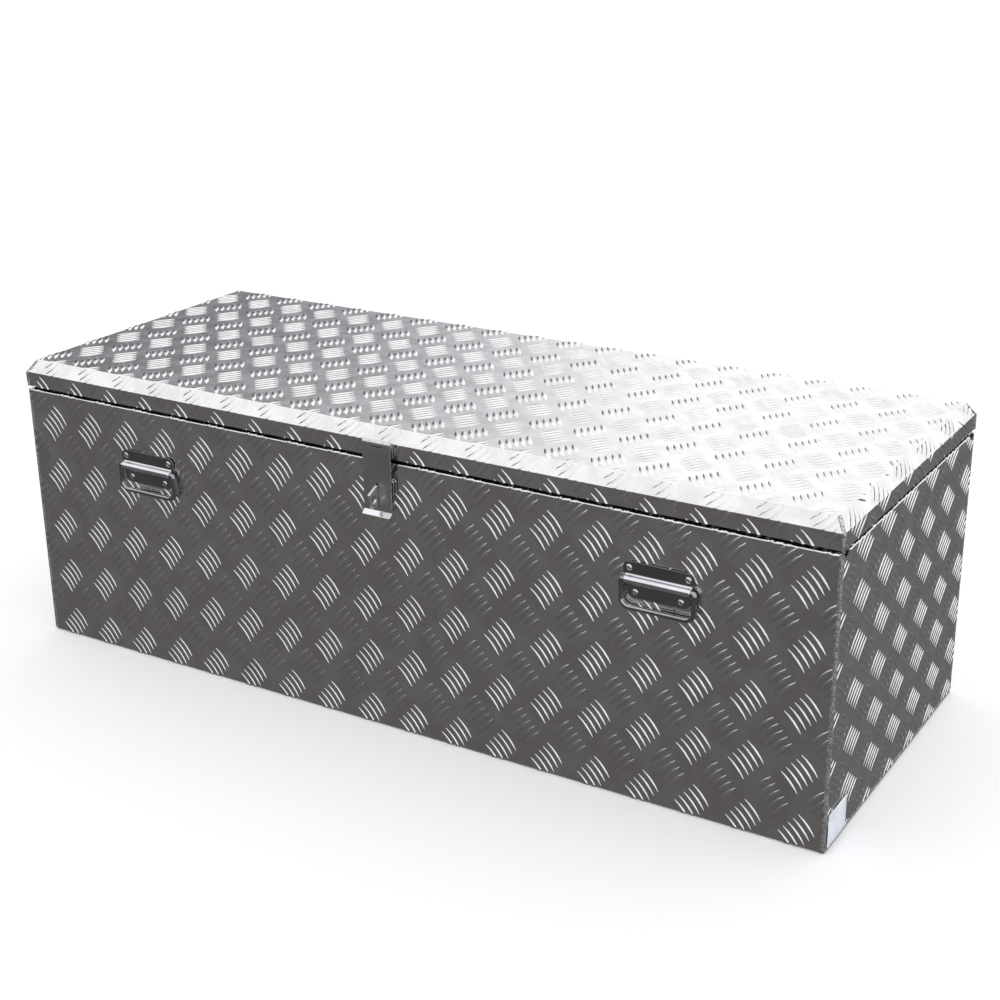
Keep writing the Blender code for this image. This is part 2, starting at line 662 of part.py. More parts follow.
# --------------------------------------------------------------------- handles
def handle_plate(name, side):
    """Back plate with a barrel across it that holds the bail's top bar."""
    centre = side * HANDLE_X
    notch = 0.005
    ear = 0.0377
    foot = 0.031
    half = [(ear, HANDLE_TOP, 0.007), (ear, BARREL_Z, 0), (foot, HANDLE_BOTTOM, 0.007)]
    full = half + [(-x, z, r) for x, z, r in half[::-1]]
    shape = rounded([(x, z) for x, z, _ in full], [r for _, _, r in full], 5, closed=True)
    level = FRONT_FACE - CLEAR - HANDLE_PLATE / 2
    item = outline(name, [(centre + x, z) for x, z in shape], "XZ", level, HANDLE_PLATE, POLISHED)
    notches = []
    for hand in (-1, 1):
        xs = sorted((centre + hand * BARREL_HALF, centre + hand * 0.045))
        notches.append(((xs[0], level - 0.01, BARREL_Z - notch), (xs[1], level + 0.01, BARREL_Z + notch)))
    combine(item, cutter(f"{name}_notches", notches), "DIFFERENCE")
    place = (centre, BARREL_Y, BARREL_Z)
    barrel = helper(
        cylinder(f"{name}_barrel", place, "X", BARREL_RADIUS, 2 * BARREL_HALF + 0.0004, None, 24, CUTTERS)
    )
    combine(item, barrel, "UNION")
    bore = (place, "X", BARREL_BORE, 0.1)
    holes = [rivet_hole((x, FRONT_FACE, z), "Y") for x, z in handle_rivet_places(side)]
    return combine(item, cutter(f"{name}_cuts", cylinders=[bore] + holes), "DIFFERENCE")


def handle_bail(name, side):
    """Ring of round bar: its top runs through the barrel and it hangs down as the grip."""
    centre = side * HANDLE_X
    corners = [(-BAIL_HALF, BARREL_Z), (BAIL_HALF, BARREL_Z), (BAIL_HALF, BAIL_BOTTOM), (-BAIL_HALF, BAIL_BOTTOM)]
    path = rounded(corners, [0.0031, 0.0031, 0.008, 0.008], 5, closed=True)
    points = [(centre + x, BARREL_Y, z) for x, z in path]
    owner = (centre, BARREL_Y, BARREL_Z)
    return tube(name, points, BAIL_RADIUS, POLISHED, closed=True, resolution=3, origin=owner)


def handle_rivets(group, side):
    result = []
    face = FRONT_FACE - CLEAR - HANDLE_PLATE
    for index, (x, z) in enumerate(handle_rivet_places(side), 1):
        name = f"handle_{group}_rivet_{index}"
        result.append(rivet(name, (x, face, z), "-Y", HEAD_LARGE, HANDLE_GRIP))
    return result


# -------------------------------------------------------------------- assembly
def axis_empty(name, place):
    """An empty on a joint's axis, which the pieces that turn there are parented to."""
    item = bpy.data.objects.new(name, None)
    item.location = place
    PARTS.objects.link(item)
    return item


def hang(empty, *pieces):
    bpy.context.view_layer.update()
    for item in pieces:
        item.parent = empty
        item.matrix_parent_inverse = empty.matrix_world.inverted()


def build():
    body_wrap()
    label()
    rim_seal()
    lid_axis = axis_empty("lid_axis", (0, HINGE_Y, HINGE_Z))
    hang(lid_axis, lid_shell())

    for group, side in HANDLE_SIDES:
        end_panel(f"end_panel_{group}", side)
        end_weld(f"end_weld_{group}", side)
        stay_stud(f"stay_stud_{group}", side)
        arm = stay_arm(f"stay_arm_{group}", side)
        hang(lid_axis, lid_bracket(f"lid_bracket_{group}", side), stay_pin(f"stay_pin_{group}", side), arm)
        handle_plate(f"handle_{group}_plate", side)
        handle_bail(f"handle_{group}_bail", side)
        handle_rivets(group, side)

    rest = (0, 0, 0)
    hinge_leaf("hinge_body_leaf", HINGE_Z - BODY_LEAF_DROP, -285, 1, rest)
    hinge_rivets("body", BODY_LEAF_RIVET_Z, HINGE_SHEET + CLEAR + PLATE)
    cylinder("hinge_pin", (0, HINGE_Y, HINGE_Z), "X", HINGE_PIN_RADIUS, HINGE_LENGTH + 0.003, STEEL, 12)
    lid_leaf = hinge_leaf("hinge_lid_leaf", HINGE_Z + LID_LEAF_RISE, 285, 0, rest)
    hang(lid_axis, lid_leaf, *hinge_rivets("lid", LID_LEAF_RIVET_Z, HINGE_SHEET + CLEAR + PLATE))

    keeper_plate()
    leaf_face = FRONT_FACE - CLEAR - HASP_SHEET
    grip = HASP_SHEET + CLEAR + PLATE
    for (group, _), (x, z) in zip(HANDLE_SIDES, KEEPER_RIVETS):
        rivet(f"keeper_rivet_{group}", (x, leaf_face, z), "-Y", HEAD_SMALL, grip)
    hang(lid_axis, hasp_lid_leaf())
    for (group, _), (x, z) in zip(HANDLE_SIDES, HASP_LEAF_RIVETS):
        hang(lid_axis, rivet(f"hasp_rivet_{group}", (x, leaf_face, z), "-Y", HEAD_SMALL, grip))
    pin = cylinder("hasp_pin", HASP_OWNER, "X", HASP_PIN_RADIUS, HASP_WIDTH + 0.001, STEEL, 12)
    hasp_axis = axis_empty("hasp_axis", HASP_OWNER)
    hang(hasp_axis, hasp_strap(), lock_eye())
    hang(lid_axis, pin, hasp_axis)


build()
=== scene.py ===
"""Truck tool box in aluminium tread plate: the looks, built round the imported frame.

Metres, +Z up. The origin is the centre of the underside, +X runs to the box's
right end and the front faces -Y. Each sheet is first made flat, with u and v in
its plane and h above it, and is then folded along its bend lines.
"""

import math

import bmesh
import bpy
import numpy as np
from mathutils import Matrix, Vector
from mathutils.geometry import delaunay_2d_cdt

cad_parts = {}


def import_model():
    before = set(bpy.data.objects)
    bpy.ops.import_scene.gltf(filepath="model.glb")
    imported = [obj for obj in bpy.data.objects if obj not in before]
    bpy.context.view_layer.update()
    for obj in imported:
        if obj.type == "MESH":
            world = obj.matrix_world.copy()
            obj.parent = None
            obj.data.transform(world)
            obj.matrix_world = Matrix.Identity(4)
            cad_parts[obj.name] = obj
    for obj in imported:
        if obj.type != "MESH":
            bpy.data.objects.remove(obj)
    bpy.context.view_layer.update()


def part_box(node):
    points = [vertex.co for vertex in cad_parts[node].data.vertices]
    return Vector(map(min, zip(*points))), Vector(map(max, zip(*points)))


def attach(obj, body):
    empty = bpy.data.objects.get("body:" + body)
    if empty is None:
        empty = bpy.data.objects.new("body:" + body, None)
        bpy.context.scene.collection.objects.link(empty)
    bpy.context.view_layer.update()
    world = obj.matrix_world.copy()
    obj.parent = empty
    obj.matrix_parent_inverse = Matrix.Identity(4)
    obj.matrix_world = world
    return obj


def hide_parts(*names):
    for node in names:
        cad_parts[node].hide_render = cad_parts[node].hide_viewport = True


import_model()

# Driving dimensions, the same as the design model's; CLEAR is the gap between touching pieces
HALF_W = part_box("lid_shell")[1].x
HALF_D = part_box("lid_shell")[1].y
LID_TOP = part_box("lid_shell")[1].z
LID_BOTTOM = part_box("lid_shell")[0].z
LID_GAP = 0.003
BODY_HEIGHT = LID_BOTTOM - LID_GAP
PLATE = 0.003
CLEAR = 0.0003
UPSTAND_INSET = 0.014
UPSTAND_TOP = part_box("body_wrap")[1].z
CHAMFER_RISE = 0.014
CHAMFER_INSET = 0.010
SKIRT_HEIGHT = LID_TOP - CHAMFER_RISE - LID_BOTTOM

# Tread plate: a sheet with groups of raised bars on its outer face
TREAD = 0.0009
SHEET = PLATE - TREAD
BEND = 0.0014
HOLLOW_BEND = 0.0016
BEND_STEPS = 2
BEND_MARGIN = 0.0007
BAR_HALF_LENGTH = 0.0148
BAR_HALF_WIDTH = 0.0028
BAR_CREST = 0.68  # how far out the flat crest reaches, as a share of the half width
BAR_SWELL = 0.7  # how fast the crest rises from a bar's two ends
BAR_STEP = 0.0075
BARS = 5

# Distances below which points count as lying on a cut, a fold line or a mitre, or as one point
ON_CUT = 1e-7
ON_LINE = 1e-8
ON_MITRE = 3e-6
MERGED = 2e-6
SAME_IN_PLAN = 1e-9

RIGHT = math.pi / 2


def linked(name, data):
    """A new object in the scene."""
    item = bpy.data.objects.new(name, data)
    bpy.context.scene.collection.objects.link(item)
    return item


# ------------------------------------------------------------ flat tread plate
class Flat:
    """A triangle mesh under work: points (n x 3), faces (m x 3) and a kind for each face."""

    FACE, BAR, WALL, BACK, WELD = range(5)

    def __init__(self, points, faces, kinds):
        self.points = np.asarray(points, float)
        self.faces = np.asarray(faces, int)
        self.kinds = np.asarray(kinds, int)

    def split(self, side):
        """Cut the triangles that cross side = 0, a signed distance for each point."""
        side = np.where(np.abs(side) < ON_CUT, 0.0, side)
        signs = np.sign(side)[self.faces]
        crossing = (signs.min(1) < 0) & (signs.max(1) > 0)
        cut, cut_signs, cut_kinds = self.faces[crossing], signs[crossing], self.kinds[crossing]
        if not len(cut):
            return self
        touching = (cut_signs == 0).any(1)
        first = np.where(
            touching, (cut_signs == 0).argmax(1), (cut_signs == -np.sign(cut_signs.sum(1))[:, None]).argmax(1)
        )
        rows = np.arange(len(cut))
        turned = np.stack([cut[rows, (first + k) % 3] for k in range(3)], 1)
        through, lone = turned[touching], turned[~touching]
        pairs = np.sort(np.concatenate([through[:, [1, 2]], lone[:, [0, 1]], lone[:, [0, 2]]]), 1)
        edges, where = np.unique(pairs, axis=0, return_inverse=True)
        where = where.reshape(-1)
        a, b = side[edges[:, 0]], side[edges[:, 1]]
        share = (a / (a - b))[:, None]
        fresh = self.points[edges[:, 0]] * (1 - share) + self.points[edges[:, 1]] * share
        where = where + len(self.points)
        count, singles = len(through), len(lone)
        mid = where[:count]
        near, far = where[count : count + singles], where[count + singles :]
        pieces = [
            self.faces[~crossing],
            np.stack([through[:, 0], through[:, 1], mid], 1),
            np.stack([through[:, 0], mid, through[:, 2]], 1),
            np.stack([lone[:, 0], near, far], 1),
            np.stack([near, lone[:, 1], lone[:, 2]], 1),
            np.stack([near, lone[:, 2], far], 1),
        ]
        kinds = [self.kinds[~crossing]] + [cut_kinds[touching]] * 2 + [cut_kinds[~touching]] * 3
        return Flat(np.concatenate([self.points, fresh]), np.concatenate(pieces), np.concatenate(kinds))

    def split_at(self, axis, *levels):
        result = self
        for level in levels:
            result = result.split(result.points[:, axis] - level)
        return result

    def keep(self, chosen):
        """Only the chosen faces, with unused points dropped."""
        faces = self.faces[chosen]
        used, renamed = np.unique(faces, return_inverse=True)
        return Flat(self.points[used], renamed.reshape(-1, 3), self.kinds[chosen])

    def middles(self):
        return self.points[self.faces].mean(1)

    def within(self, low, high):
        """The part inside a rectangle of u and v, whose sides are already cut."""
        middle = self.middles()[:, :2]
        return self.keep(((middle > low) & (middle < high)).all(1))

    def borders(self):
        """Directed edges that only one face has."""
        edges = np.concatenate([self.faces[:, [0, 1]], self.faces[:, [1, 2]], self.faces[:, [2, 0]]])
        codes = edges[:, 0] * len(self.points) + edges[:, 1]
        back = edges[:, 1] * len(self.points) + edges[:, 0]
        return edges[~np.isin(codes, back)]

    def closed(self, axis, lines, open_sides=lambda a, b: False):
        """The sheet with its back and its cut edges.

        The back is folded at the same lines of u or v as the face, and open_sides
        says which edges get no wall.
        """
        border = self.borders()
        loop = np.unique(border)
        order = {old: new for new, old in enumerate(loop)}
        low = self.points[loop].copy()
        low[:, 2] = -SHEET
        base = len(self.points)
        walls = []
        for i, j in border:
            if open_sides(self.points[i], self.points[j]):
                continue
            i_low, j_low = base + order[i], base + order[j]
            walls += [(j, i, i_low), (j, i_low, j_low)]
        edges = [(order[i], order[j]) for i, j in border]
        for line in lines:
            on_line = np.flatnonzero(np.abs(low[:, axis] - line) < ON_LINE)
            if len(on_line) > 1:
                across = low[on_line, 1 - axis]
                edges.append((on_line[across.argmin()], on_line[across.argmax()]))
        back = filled(low[:, :2], edges)
        faces = [self.faces, np.array(walls, int).reshape(-1, 3), base + back[:, ::-1]]
        kinds = [self.kinds, np.full(len(walls), Flat.WALL), np.full(len(back), Flat.BACK)]
        return Flat(np.concatenate([self.points, low]), np.concatenate(faces), np.concatenate(kinds))

    def joined(self, *others):
        """This mesh and others as one, with points at the same place made one."""
        points, faces, kinds, base = [], [], [], 0
        for part in (self, *others):
            points.append(part.points)
            faces.append(part.faces + base)
            kinds.append(part.kinds)
            base += len(part.points)
        points, faces = np.concatenate(points), np.concatenate(faces)
        _, first, renamed = np.unique(
            np.round(points / MERGED).astype(int), axis=0, return_index=True, return_inverse=True
        )
        faces = renamed.reshape(-1)[faces]
        kinds = np.concatenate(kinds)
        whole = (faces[:, 0] != faces[:, 1]) & (faces[:, 1] != faces[:, 2]) & (faces[:, 2] != faces[:, 0])
        return Flat(points[first], faces[whole], kinds[whole])

    def to_object(self, name):
        """A Blender object: smooth within each kind, sharp between kinds, and flat on the back."""
        mesh = bpy.data.meshes.new(name)
        mesh.vertices.add(len(self.points))
        mesh.vertices.foreach_set("co", self.points.astype(np.float32).reshape(-1))
        mesh.loops.add(self.faces.size)
        mesh.loops.foreach_set("vertex_index", self.faces.astype(np.int32).reshape(-1))
        mesh.polygons.add(len(self.faces))
        mesh.polygons.foreach_set("loop_start", np.arange(0, self.faces.size, 3, dtype=np.int32))
        mesh.update(calc_edges=True)
        mesh.polygons.foreach_set("use_smooth", self.kinds != Flat.BACK)
        loop_edges = np.zeros(len(mesh.loops), np.int32)
        mesh.loops.foreach_get("edge_index", loop_edges)
        loop_kinds = np.repeat(self.kinds, 3)
        lowest = np.full(len(mesh.edges), Flat.WELD)
        highest = np.full(len(mesh.edges), Flat.FACE)
        np.minimum.at(lowest, loop_edges, loop_kinds)
        np.maximum.at(highest, loop_edges, loop_kinds)
        sharp = (lowest != highest) | (highest == Flat.WALL)
        mesh.edges.foreach_set("use_edge_sharp", sharp)
        mesh.polygons.foreach_set("material_index", self.kinds.astype(np.int32))
        mesh.validate()
        return linked(name, mesh)


def filled(points, edges):
    """Triangles inside a closed outline of flat points, wound counter-clockwise."""
    result = delaunay_2d_cdt([Vector(p) for p in points], edges, [], 1, SAME_IN_PLAN)
    places, origins = result[0], result[3]
    names = [origin[0] if origin else nearest(points, place) for place, origin in zip(places, origins)]
    faces = [[names[i] for i in face] for face in result[2]]
    return np.array([face for face in faces if len(set(face)) == 3], int).reshape(-1, 3)


def nearest(points, place):
    return int(((np.asarray(points) - np.array(place)) ** 2).sum(1).argmin())


def bar(centre, along, across, fine):
    """One raised bar: a lens in plan with a domed top. Returns points, faces and its outline."""
    stations = (-0.84, -0.45, 0.0, 0.45, 0.84) if fine else (-0.6, 0.0, 0.6)
    sections = (-1.0, -BAR_CREST, BAR_CREST, 1.0) if fine else (-1.0, 0.0, 1.0)
    points = [centre - along * BAR_HALF_LENGTH, centre + along * BAR_HALF_LENGTH]
    heights = [0.0, 0.0]
    for station in stations:
        fullness = 1 - station * station
        for section in sections:
            offset = across * (section * BAR_HALF_WIDTH * fullness)
            points.append(centre + along * (station * BAR_HALF_LENGTH) + offset)
            heights.append(TREAD * fullness**BAR_SWELL * (abs(section) < 1))
    width = len(sections)
    last = 2 + (len(stations) - 1) * width
    faces = []
    for k in range(width - 1):
        faces += [(0, 2 + k, 3 + k), (1, last + k + 1, last + k)]
        for row in range(2, last, width):
            a, b, c, d = row + k, row + k + width, row + k + width + 1, row + k + 1
            faces += [(a, b, c), (a, c, d)]
    rows = [2 + r * width for r in range(len(stations))]
    outline = [0] + rows + [1] + [r + width - 1 for r in rows[::-1]]
    return np.column_stack([np.array(points), heights]), np.array(faces), outline


def cell(short, long, kind, fine):
    """The diamond cell of one group of bars: its corners are half a pitch from its middle."""
    falling = (short - long) / np.linalg.norm(short - long)
    rising = (short + long) / np.linalg.norm(short + long)
    along, step = (falling, rising) if kind == 0 else (rising, falling)
    across = np.array([-along[1], along[0]])
    points = [np.array([[*corner, 0] for corner in (short / 2, long / 2, -short / 2, -long / 2)])]
    faces, holes, base = [], [], 4
    edges = [(0, 1), (1, 2), (2, 3), (3, 0)]
    for index in range(BARS):
        shift = step * BAR_STEP * (index - (BARS - 1) / 2)
        bar_points, bar_faces, outline = bar(shift, along, across, fine)
        points.append(bar_points)
        faces.append(bar_faces + base)
        ring = [base + i for i in outline]
        edges += list(zip(ring, ring[1:] + ring[:1]))
        holes.append(ring)
        base += len(bar_points)
    points = np.concatenate(points)
    kinds = [Flat.BAR] * sum(len(f) for f in faces)
    used = sorted({i for edge in edges for i in edge})
    order = {old: new for new, old in enumerate(used)}
    plane = delaunay_2d_cdt(
        [Vector(points[i][:2]) for i in used],
        [(order[i], order[j]) for i, j in edges],
        [[order[i] for i in ring] for ring in holes],
        0,
        SAME_IN_PLAN,
    )
    names = [used[origin[0]] for origin in plane[3]]
    ground = [[names[i] for i in face] for face, owners in zip(plane[2], plane[5]) if not owners]
    faces.append(np.array(ground))
    kinds += [Flat.FACE] * len(ground)
    return Flat(points, np.concatenate(faces), kinds)


def tread(origin, short, long, low, high, fine=lambda v: True):
    """Tread plate over a rectangle: a lattice of cells of the two kinds, from a group's middle."""
    origin, short, long = (np.array(v, float) for v in (origin, short, long))
    inverse = np.linalg.inv(np.column_stack([short, long]))
    corners = [(u, v) for u in (low[0], high[0]) for v in (low[1], high[1])]
    steps = np.array([inverse @ (np.array(c) - origin) for c in corners])
    first = np.floor(steps.min(0)).astype(int) - 1
    last = np.ceil(steps.max(0)).astype(int) + 1
    reach = np.abs(short) / 2 + np.abs(long) / 2
    points, faces, kinds, base = [], [], [], 0
    for kind in (0, 1):
        templates = [cell(short, long, kind, detail) for detail in (False, True)]
        for i in range(first[0], last[0] + 1):
            for j in range(first[1], last[1] + 1):
                middle = origin + short * (i + kind / 2) + long * (j + kind / 2)
                if (middle + reach < low).any() or (middle - reach > high).any():
                    continue
                template = templates[int(fine(middle[1]))]
                points.append(template.points + (*middle, 0))
                faces.append(template.faces + base)
                kinds.append(template.kinds)
                base += len(template.points)
    flat = Flat(np.concatenate(points), np.concatenate(faces), np.concatenate(kinds)).joined()
    for axis in (0, 1):
        flat = flat.split_at(axis, low[axis], high[axis])
    return flat.within(low, high)


# --------------------------------------------------------------------- folding
def run(length):
    return (length, None)


def convex(angle, radius=BEND):
    return (angle * radius, radius)


def hollow(angle, radius=HOLLOW_BEND):
    return (angle * radius, -radius)


def folded(path, start, heading, along, above):
    """Complex places on a path of runs and bends, above its left side. The last run has no end."""
    here, heading, done = complex(*start), complex(heading), 0.0
    result = here + heading * (along + 1j * above)
    for length, radius in path:
        ahead = along >= done
        step = along[ahead] - done
        if radius is None:
            result[ahead] = here + heading * (step + 1j * above[ahead])
            here += heading * length
        else:
            centre = here - radius * 1j * heading
            turn = np.exp(-1j * step / radius)
            result[ahead] = centre + (radius + above[ahead]) * 1j * heading * turn
            heading *= np.exp(-1j * length / radius)
            here = centre + radius * 1j * heading
        done += length
    return result


def bend_lines(path):
    """Where a path needs cuts: through each bend, and a little before and after a convex one."""
    lines, done = [], 0.0
    for length, radius in path:
        if radius is not None:
            if radius > 0:
                lines += [done - BEND_MARGIN, done + length + BEND_MARGIN]
            lines += [done, done + length]
            lines += [done + length * k / BEND_STEPS for k in range(1, BEND_STEPS)]
        done += length
    return lines


def path_length(path):
    return sum(length for length, _ in path)


# ---------------------------------------------------------------- tread pieces
WALL_FLAT = BODY_HEIGHT - 2 * TREAD - 2 * BEND
FLANGE_FLAT = UPSTAND_INSET - BEND - HOLLOW_BEND
STAND_FLAT = UPSTAND_TOP - (BODY_HEIGHT - TREAD + HOLLOW_BEND)
RIM = [run(WALL_FLAT), convex(RIGHT), run(FLANGE_FLAT), hollow(RIGHT), run(STAND_FLAT)]

# Pitches of the pattern on each face, and the middle of one group there
FRONT_PATTERN = dict(origin=(0.0368 - HALF_W, 0.2708), short=(0.0549, 0), long=(0, 0.0642))
END_PATTERN = dict(origin=(0.08995 - HALF_D, 0.223), short=(0, 0.0508), long=(0.0629, 0.0022))
LID_PATTERN = dict(origin=(0.05395 - HALF_W, 0.3009 - HALF_D), short=(0.0521, 0), long=(-0.0036, 0.0666))


def body_wrap():
    """Front, bottom and rear from one sheet, with the rims' flanges and upstands."""
    floor = run(2 * (HALF_D - TREAD - BEND))
    path = RIM[::-1] + [convex(RIGHT), floor, convex(RIGHT)] + RIM
    length = path_length(path)
    # v is the height on the front wall, so the path starts this far below v = 0
    front_start = length - path_length(RIM)
    shift = front_start - (TREAD + BEND)
    half = HALF_W - PLATE - CLEAR
    low, high = (-half, -shift), (half, length - shift)
    # The underside, out of sight between the two walls, gets coarser bars
    flat = tread(low=low, high=high, fine=lambda v: v > -0.01 or v < -2 * HALF_D, **FRONT_PATTERN)
    lines = [line - shift for line in bend_lines(path)]
    stand_half = HALF_W - UPSTAND_INSET
    flat = flat.split_at(1, *lines).split_at(0, -stand_half, stand_half)
    stand = path_length(RIM[3:])
    middle = flat.middles()
    raised = (middle[:, 1] > high[1] - stand) | (middle[:, 1] < low[1] + stand)
    flat = flat.keep(~(raised & (np.abs(middle[:, 0]) > stand_half)))
    flat = flat.closed(1, lines)
    start = (HALF_D - UPSTAND_INSET - TREAD, UPSTAND_TOP)
    place = folded(path, start, -1j, flat.points[:, 1] + shift, flat.points[:, 2])
    flat.points = np.column_stack([flat.points[:, 0], place.real, place.imag])
    return flat.to_object("body_wrap_plate")


def end_panel(name, side):
    """One end, its flange and upstand; side is 1 for the right end."""
    foot = PLATE + CLEAR
    path = [run(BODY_HEIGHT - foot - TREAD - BEND)] + RIM[1:]
    half = HALF_D - PLATE - CLEAR
    low, high = (-half, foot), (half, foot + path_length(path))
    flat = tread(low=low, high=high, **END_PATTERN)
    rim_half = HALF_D - UPSTAND_INSET - PLATE - CLEAR
    rim_start = BODY_HEIGHT - 2 * PLATE
    lines = [line + foot for line in bend_lines(path)] + [rim_start]
    flat = flat.split_at(1, *lines).split_at(0, -rim_half, rim_half)
    middle = flat.middles()
    flat = flat.keep(~((middle[:, 1] > rim_start) & (np.abs(middle[:, 0]) > rim_half)))
    flat = flat.closed(1, lines)
    start = (-(HALF_W - TREAD), foot)
    place = folded(path, start, 1j, flat.points[:, 1] - foot, flat.points[:, 2])
    flat.points = np.column_stack([-side * place.real, side * flat.points[:, 0], place.imag])
    return flat.to_object(name)


def lid_plate():
    """The lid from one cross-shaped sheet: top, chamfers and skirts, mitred at the corners."""
    steep = math.atan2(CHAMFER_RISE, CHAMFER_INSET)
    rest = RIGHT - steep
    t_top, t_side = math.tan(steep / 2), math.tan(rest / 2)
    slant = math.hypot(CHAMFER_RISE, CHAMFER_INSET)
    path = [
        convex(steep),
        run(slant - (TREAD + BEND) * (t_top + t_side)),
        convex(rest),
        run(SKIRT_HEIGHT - (TREAD + BEND) * t_side),
    ]
    edge = np.array([HALF_W, HALF_D]) - CHAMFER_INSET - (TREAD + BEND) * t_top
    reach = path_length(path)
    flat = tread(low=-(edge + reach), high=edge + reach, **LID_PATTERN)
    lines = bend_lines(path)
    for axis in (0, 1):
        for sign in (-1, 1):
            flat = flat.split_at(axis, *[sign * (edge[axis] + line) for line in lines])
    level = LID_TOP - TREAD

    def on_fold(a, b, k):
        return max(abs(abs(a[k]) - edge[k]), abs(abs(b[k]) - edge[k])) < ON_CUT

    top = flat.within(-edge, edge).closed(0, [], lambda a, b: on_fold(a, b, 0) or on_fold(a, b, 1))
    top.points[:, 2] += level
    parts = [top]
    for axis in (0, 1):
        other = 1 - axis
        for sign in (-1, 1):
            low, high = np.zeros(2), np.zeros(2)
            low[axis], high[axis] = sorted((sign * edge[axis], sign * (edge[axis] + reach)))
            low[other], high[other] = -(edge[other] + reach), edge[other] + reach
            levels = [sign * (edge[axis] + line) for line in lines]
            side = flat.within(low, high).closed(axis, levels, lambda a, b: on_fold(a, b, axis))
            out = sign * side.points[:, axis] - edge[axis]
            place = folded(path, (edge[axis], level), 1, out, side.points[:, 2])
            spot = np.zeros_like(side.points)
            spot[:, axis] = sign * place.real
            spot[:, other] = side.points[:, other]
            spot[:, 2] = place.imag
            side.points = spot
            for end in (-1, 1):
                side = mitred(side, axis, end)
            parts.append(parted(side, axis, edge[axis]))
    return parts[0].joined(*parts[1:], *lid_corner_welds()).to_object("lid_plate")


def mitre_gap(points, axis, end):
    """How far points lie past the upright mitre plane at one end of a side strip."""
    other = 1 - axis
    half = (HALF_W, HALF_D)
    return (half[axis] - np.abs(points[:, axis])) - (half[other] - end * points[:, other])


def mitred(flat, axis, end):
    """Cut a side strip at its mitre, drop what lies past it and cap the cut."""
    flat = flat.split(mitre_gap(flat.points, axis, end))
    gap = mitre_gap(flat.points, axis, end)
    gap[np.abs(gap) < 1e-6] = 0.0
    flat = flat.keep(gap[flat.faces].sum(1) < 0).joined()
    border = flat.borders()
    on_cut = np.abs(mitre_gap(flat.points, axis, end)) < ON_MITRE
    border = border[on_cut[border].all(1)]
    loop = np.unique(border)
    order = {old: new for new, old in enumerate(loop)}
    closing = [(order[i], order[j]) for i, j in border]
    # The fold line has no wall, so its two corners, face and back, close the outline
    loose = [order[i] for i in set(border[:, 0]) ^ set(border[:, 1])]
    if len(loose) == 2:
        closing.append(tuple(loose))
    cap = filled(flat.points[loop][:, [axis, 2]], closing)
    directed = {(loop[a], loop[b]) for face in cap for a, b in zip(face, np.roll(face, -1))}
    if tuple(border[len(border) // 2]) in directed:
        cap = cap[:, ::-1]
    faces = np.concatenate([flat.faces, loop[cap]])
    return Flat(flat.points, faces, np.concatenate([flat.kinds, np.full(len(cap), Flat.WALL)]))


def parted(flat, axis, edge):
    """Draw the two mitred ends in by a hair, so that neighbours at a corner stay apart."""
    hair = 0.00002
    other = 1 - axis
    for end in (-1, 1):
        on_cut = np.abs(mitre_gap(flat.points, axis, end)) < ON_MITRE
        moved = on_cut & (np.abs(flat.points[:, axis]) > edge + ON_MITRE)
        flat.points[moved, other] -= hair * end
    return flat


# -------------------------------------------------------------- shapes in plan
def oblong(low, high):
    """The corners of a rectangle."""
    return [low, (high[0], low[1]), high, (low[0], high[1])]


def rounded(points, radius, steps, closed=True):
    """An outline with each corner replaced by an arc; radius may be one per corner."""
    count = len(points)
    radii = radius if isinstance(radius, (list, tuple)) else [radius] * count
    result = []
    for index, point in enumerate(points):
        here = Vector(point)
        if not closed and index in (0, count - 1) or radii[index] == 0:
            result.append(here)
            continue
        before = (Vector(points[index - 1]) - here).normalized()
        after = (Vector(points[(index + 1) % count]) - here).normalized()
        half = before.angle(after) / 2
        reach = radii[index] / math.tan(half)
        centre = here + (before + after).normalized() * radii[index] / math.sin(half)
        start = here + before * reach - centre
        end = here + after * reach - centre
        turn = math.atan2(start.x * end.y - start.y * end.x, start.dot(end))
        for step in range(steps + 1):
            result.append(centre + Matrix.Rotation(turn * step / steps, 2) @ start)
    return result


def arc(centre, radius, start, end, steps):
    """Points round a centre, from one angle in degrees to another."""
    result = []
    for step in range(steps + 1):
        angle = math.radians(start + (end - start) * step / steps)
        place = (centre[0] + radius * math.cos(angle), centre[1] + radius * math.sin(angle))
        result.append(Vector(place))
    return result


def circle(centre, radius, steps=20):
    return arc(centre, radius, 0, 360 - 360 / steps, steps - 1)


def capsule(start, end, radius, steps=8):
    """Outline of a bar with round ends between two points."""
    along = (Vector(end) - Vector(start)).normalized()
    heading = math.degrees(math.atan2(along.y, along.x))
    return arc(end, radius, heading - 90, heading + 90, steps) + arc(
        start, radius, heading + 90, heading + 270, steps
    )


# ------------------------------------------------------------------ solid makers
SHARP = 32  # degrees between faces, above which an edge is sharp


def to_item(bm, name, sharp=SHARP):
    """A Blender object from a bmesh, smooth except across sharp edges."""
    bmesh.ops.remove_doubles(bm, verts=bm.verts, dist=MERGED)
    bmesh.ops.recalc_face_normals(bm, faces=bm.faces)
    mesh = bpy.data.meshes.new(name)
    bm.to_mesh(mesh)
    bm.free()
    return evened(linked(name, mesh), sharp)


def evened(item, sharp=SHARP):
    """Smooth across small angles only, with the shading of flat faces kept flat."""
    item.data.shade_smooth()
    item.data.set_sharp_from_angle(angle=math.radians(sharp))
    change = item.modifiers.new("even", "WEIGHTED_NORMAL")
    change.keep_sharp = True
    change.weight = 80
    return settled(item)


def final_mesh(item):
    """A new mesh of what an object looks like with its modifiers or as a curve."""
    graph = bpy.context.evaluated_depsgraph_get()
    return bpy.data.meshes.new_from_object(item.evaluated_get(graph))


def settled(item):
    """The object with its modifiers applied to its mesh."""
    mesh = final_mesh(item)
    item.modifiers.clear()
    item.data = mesh
    return item


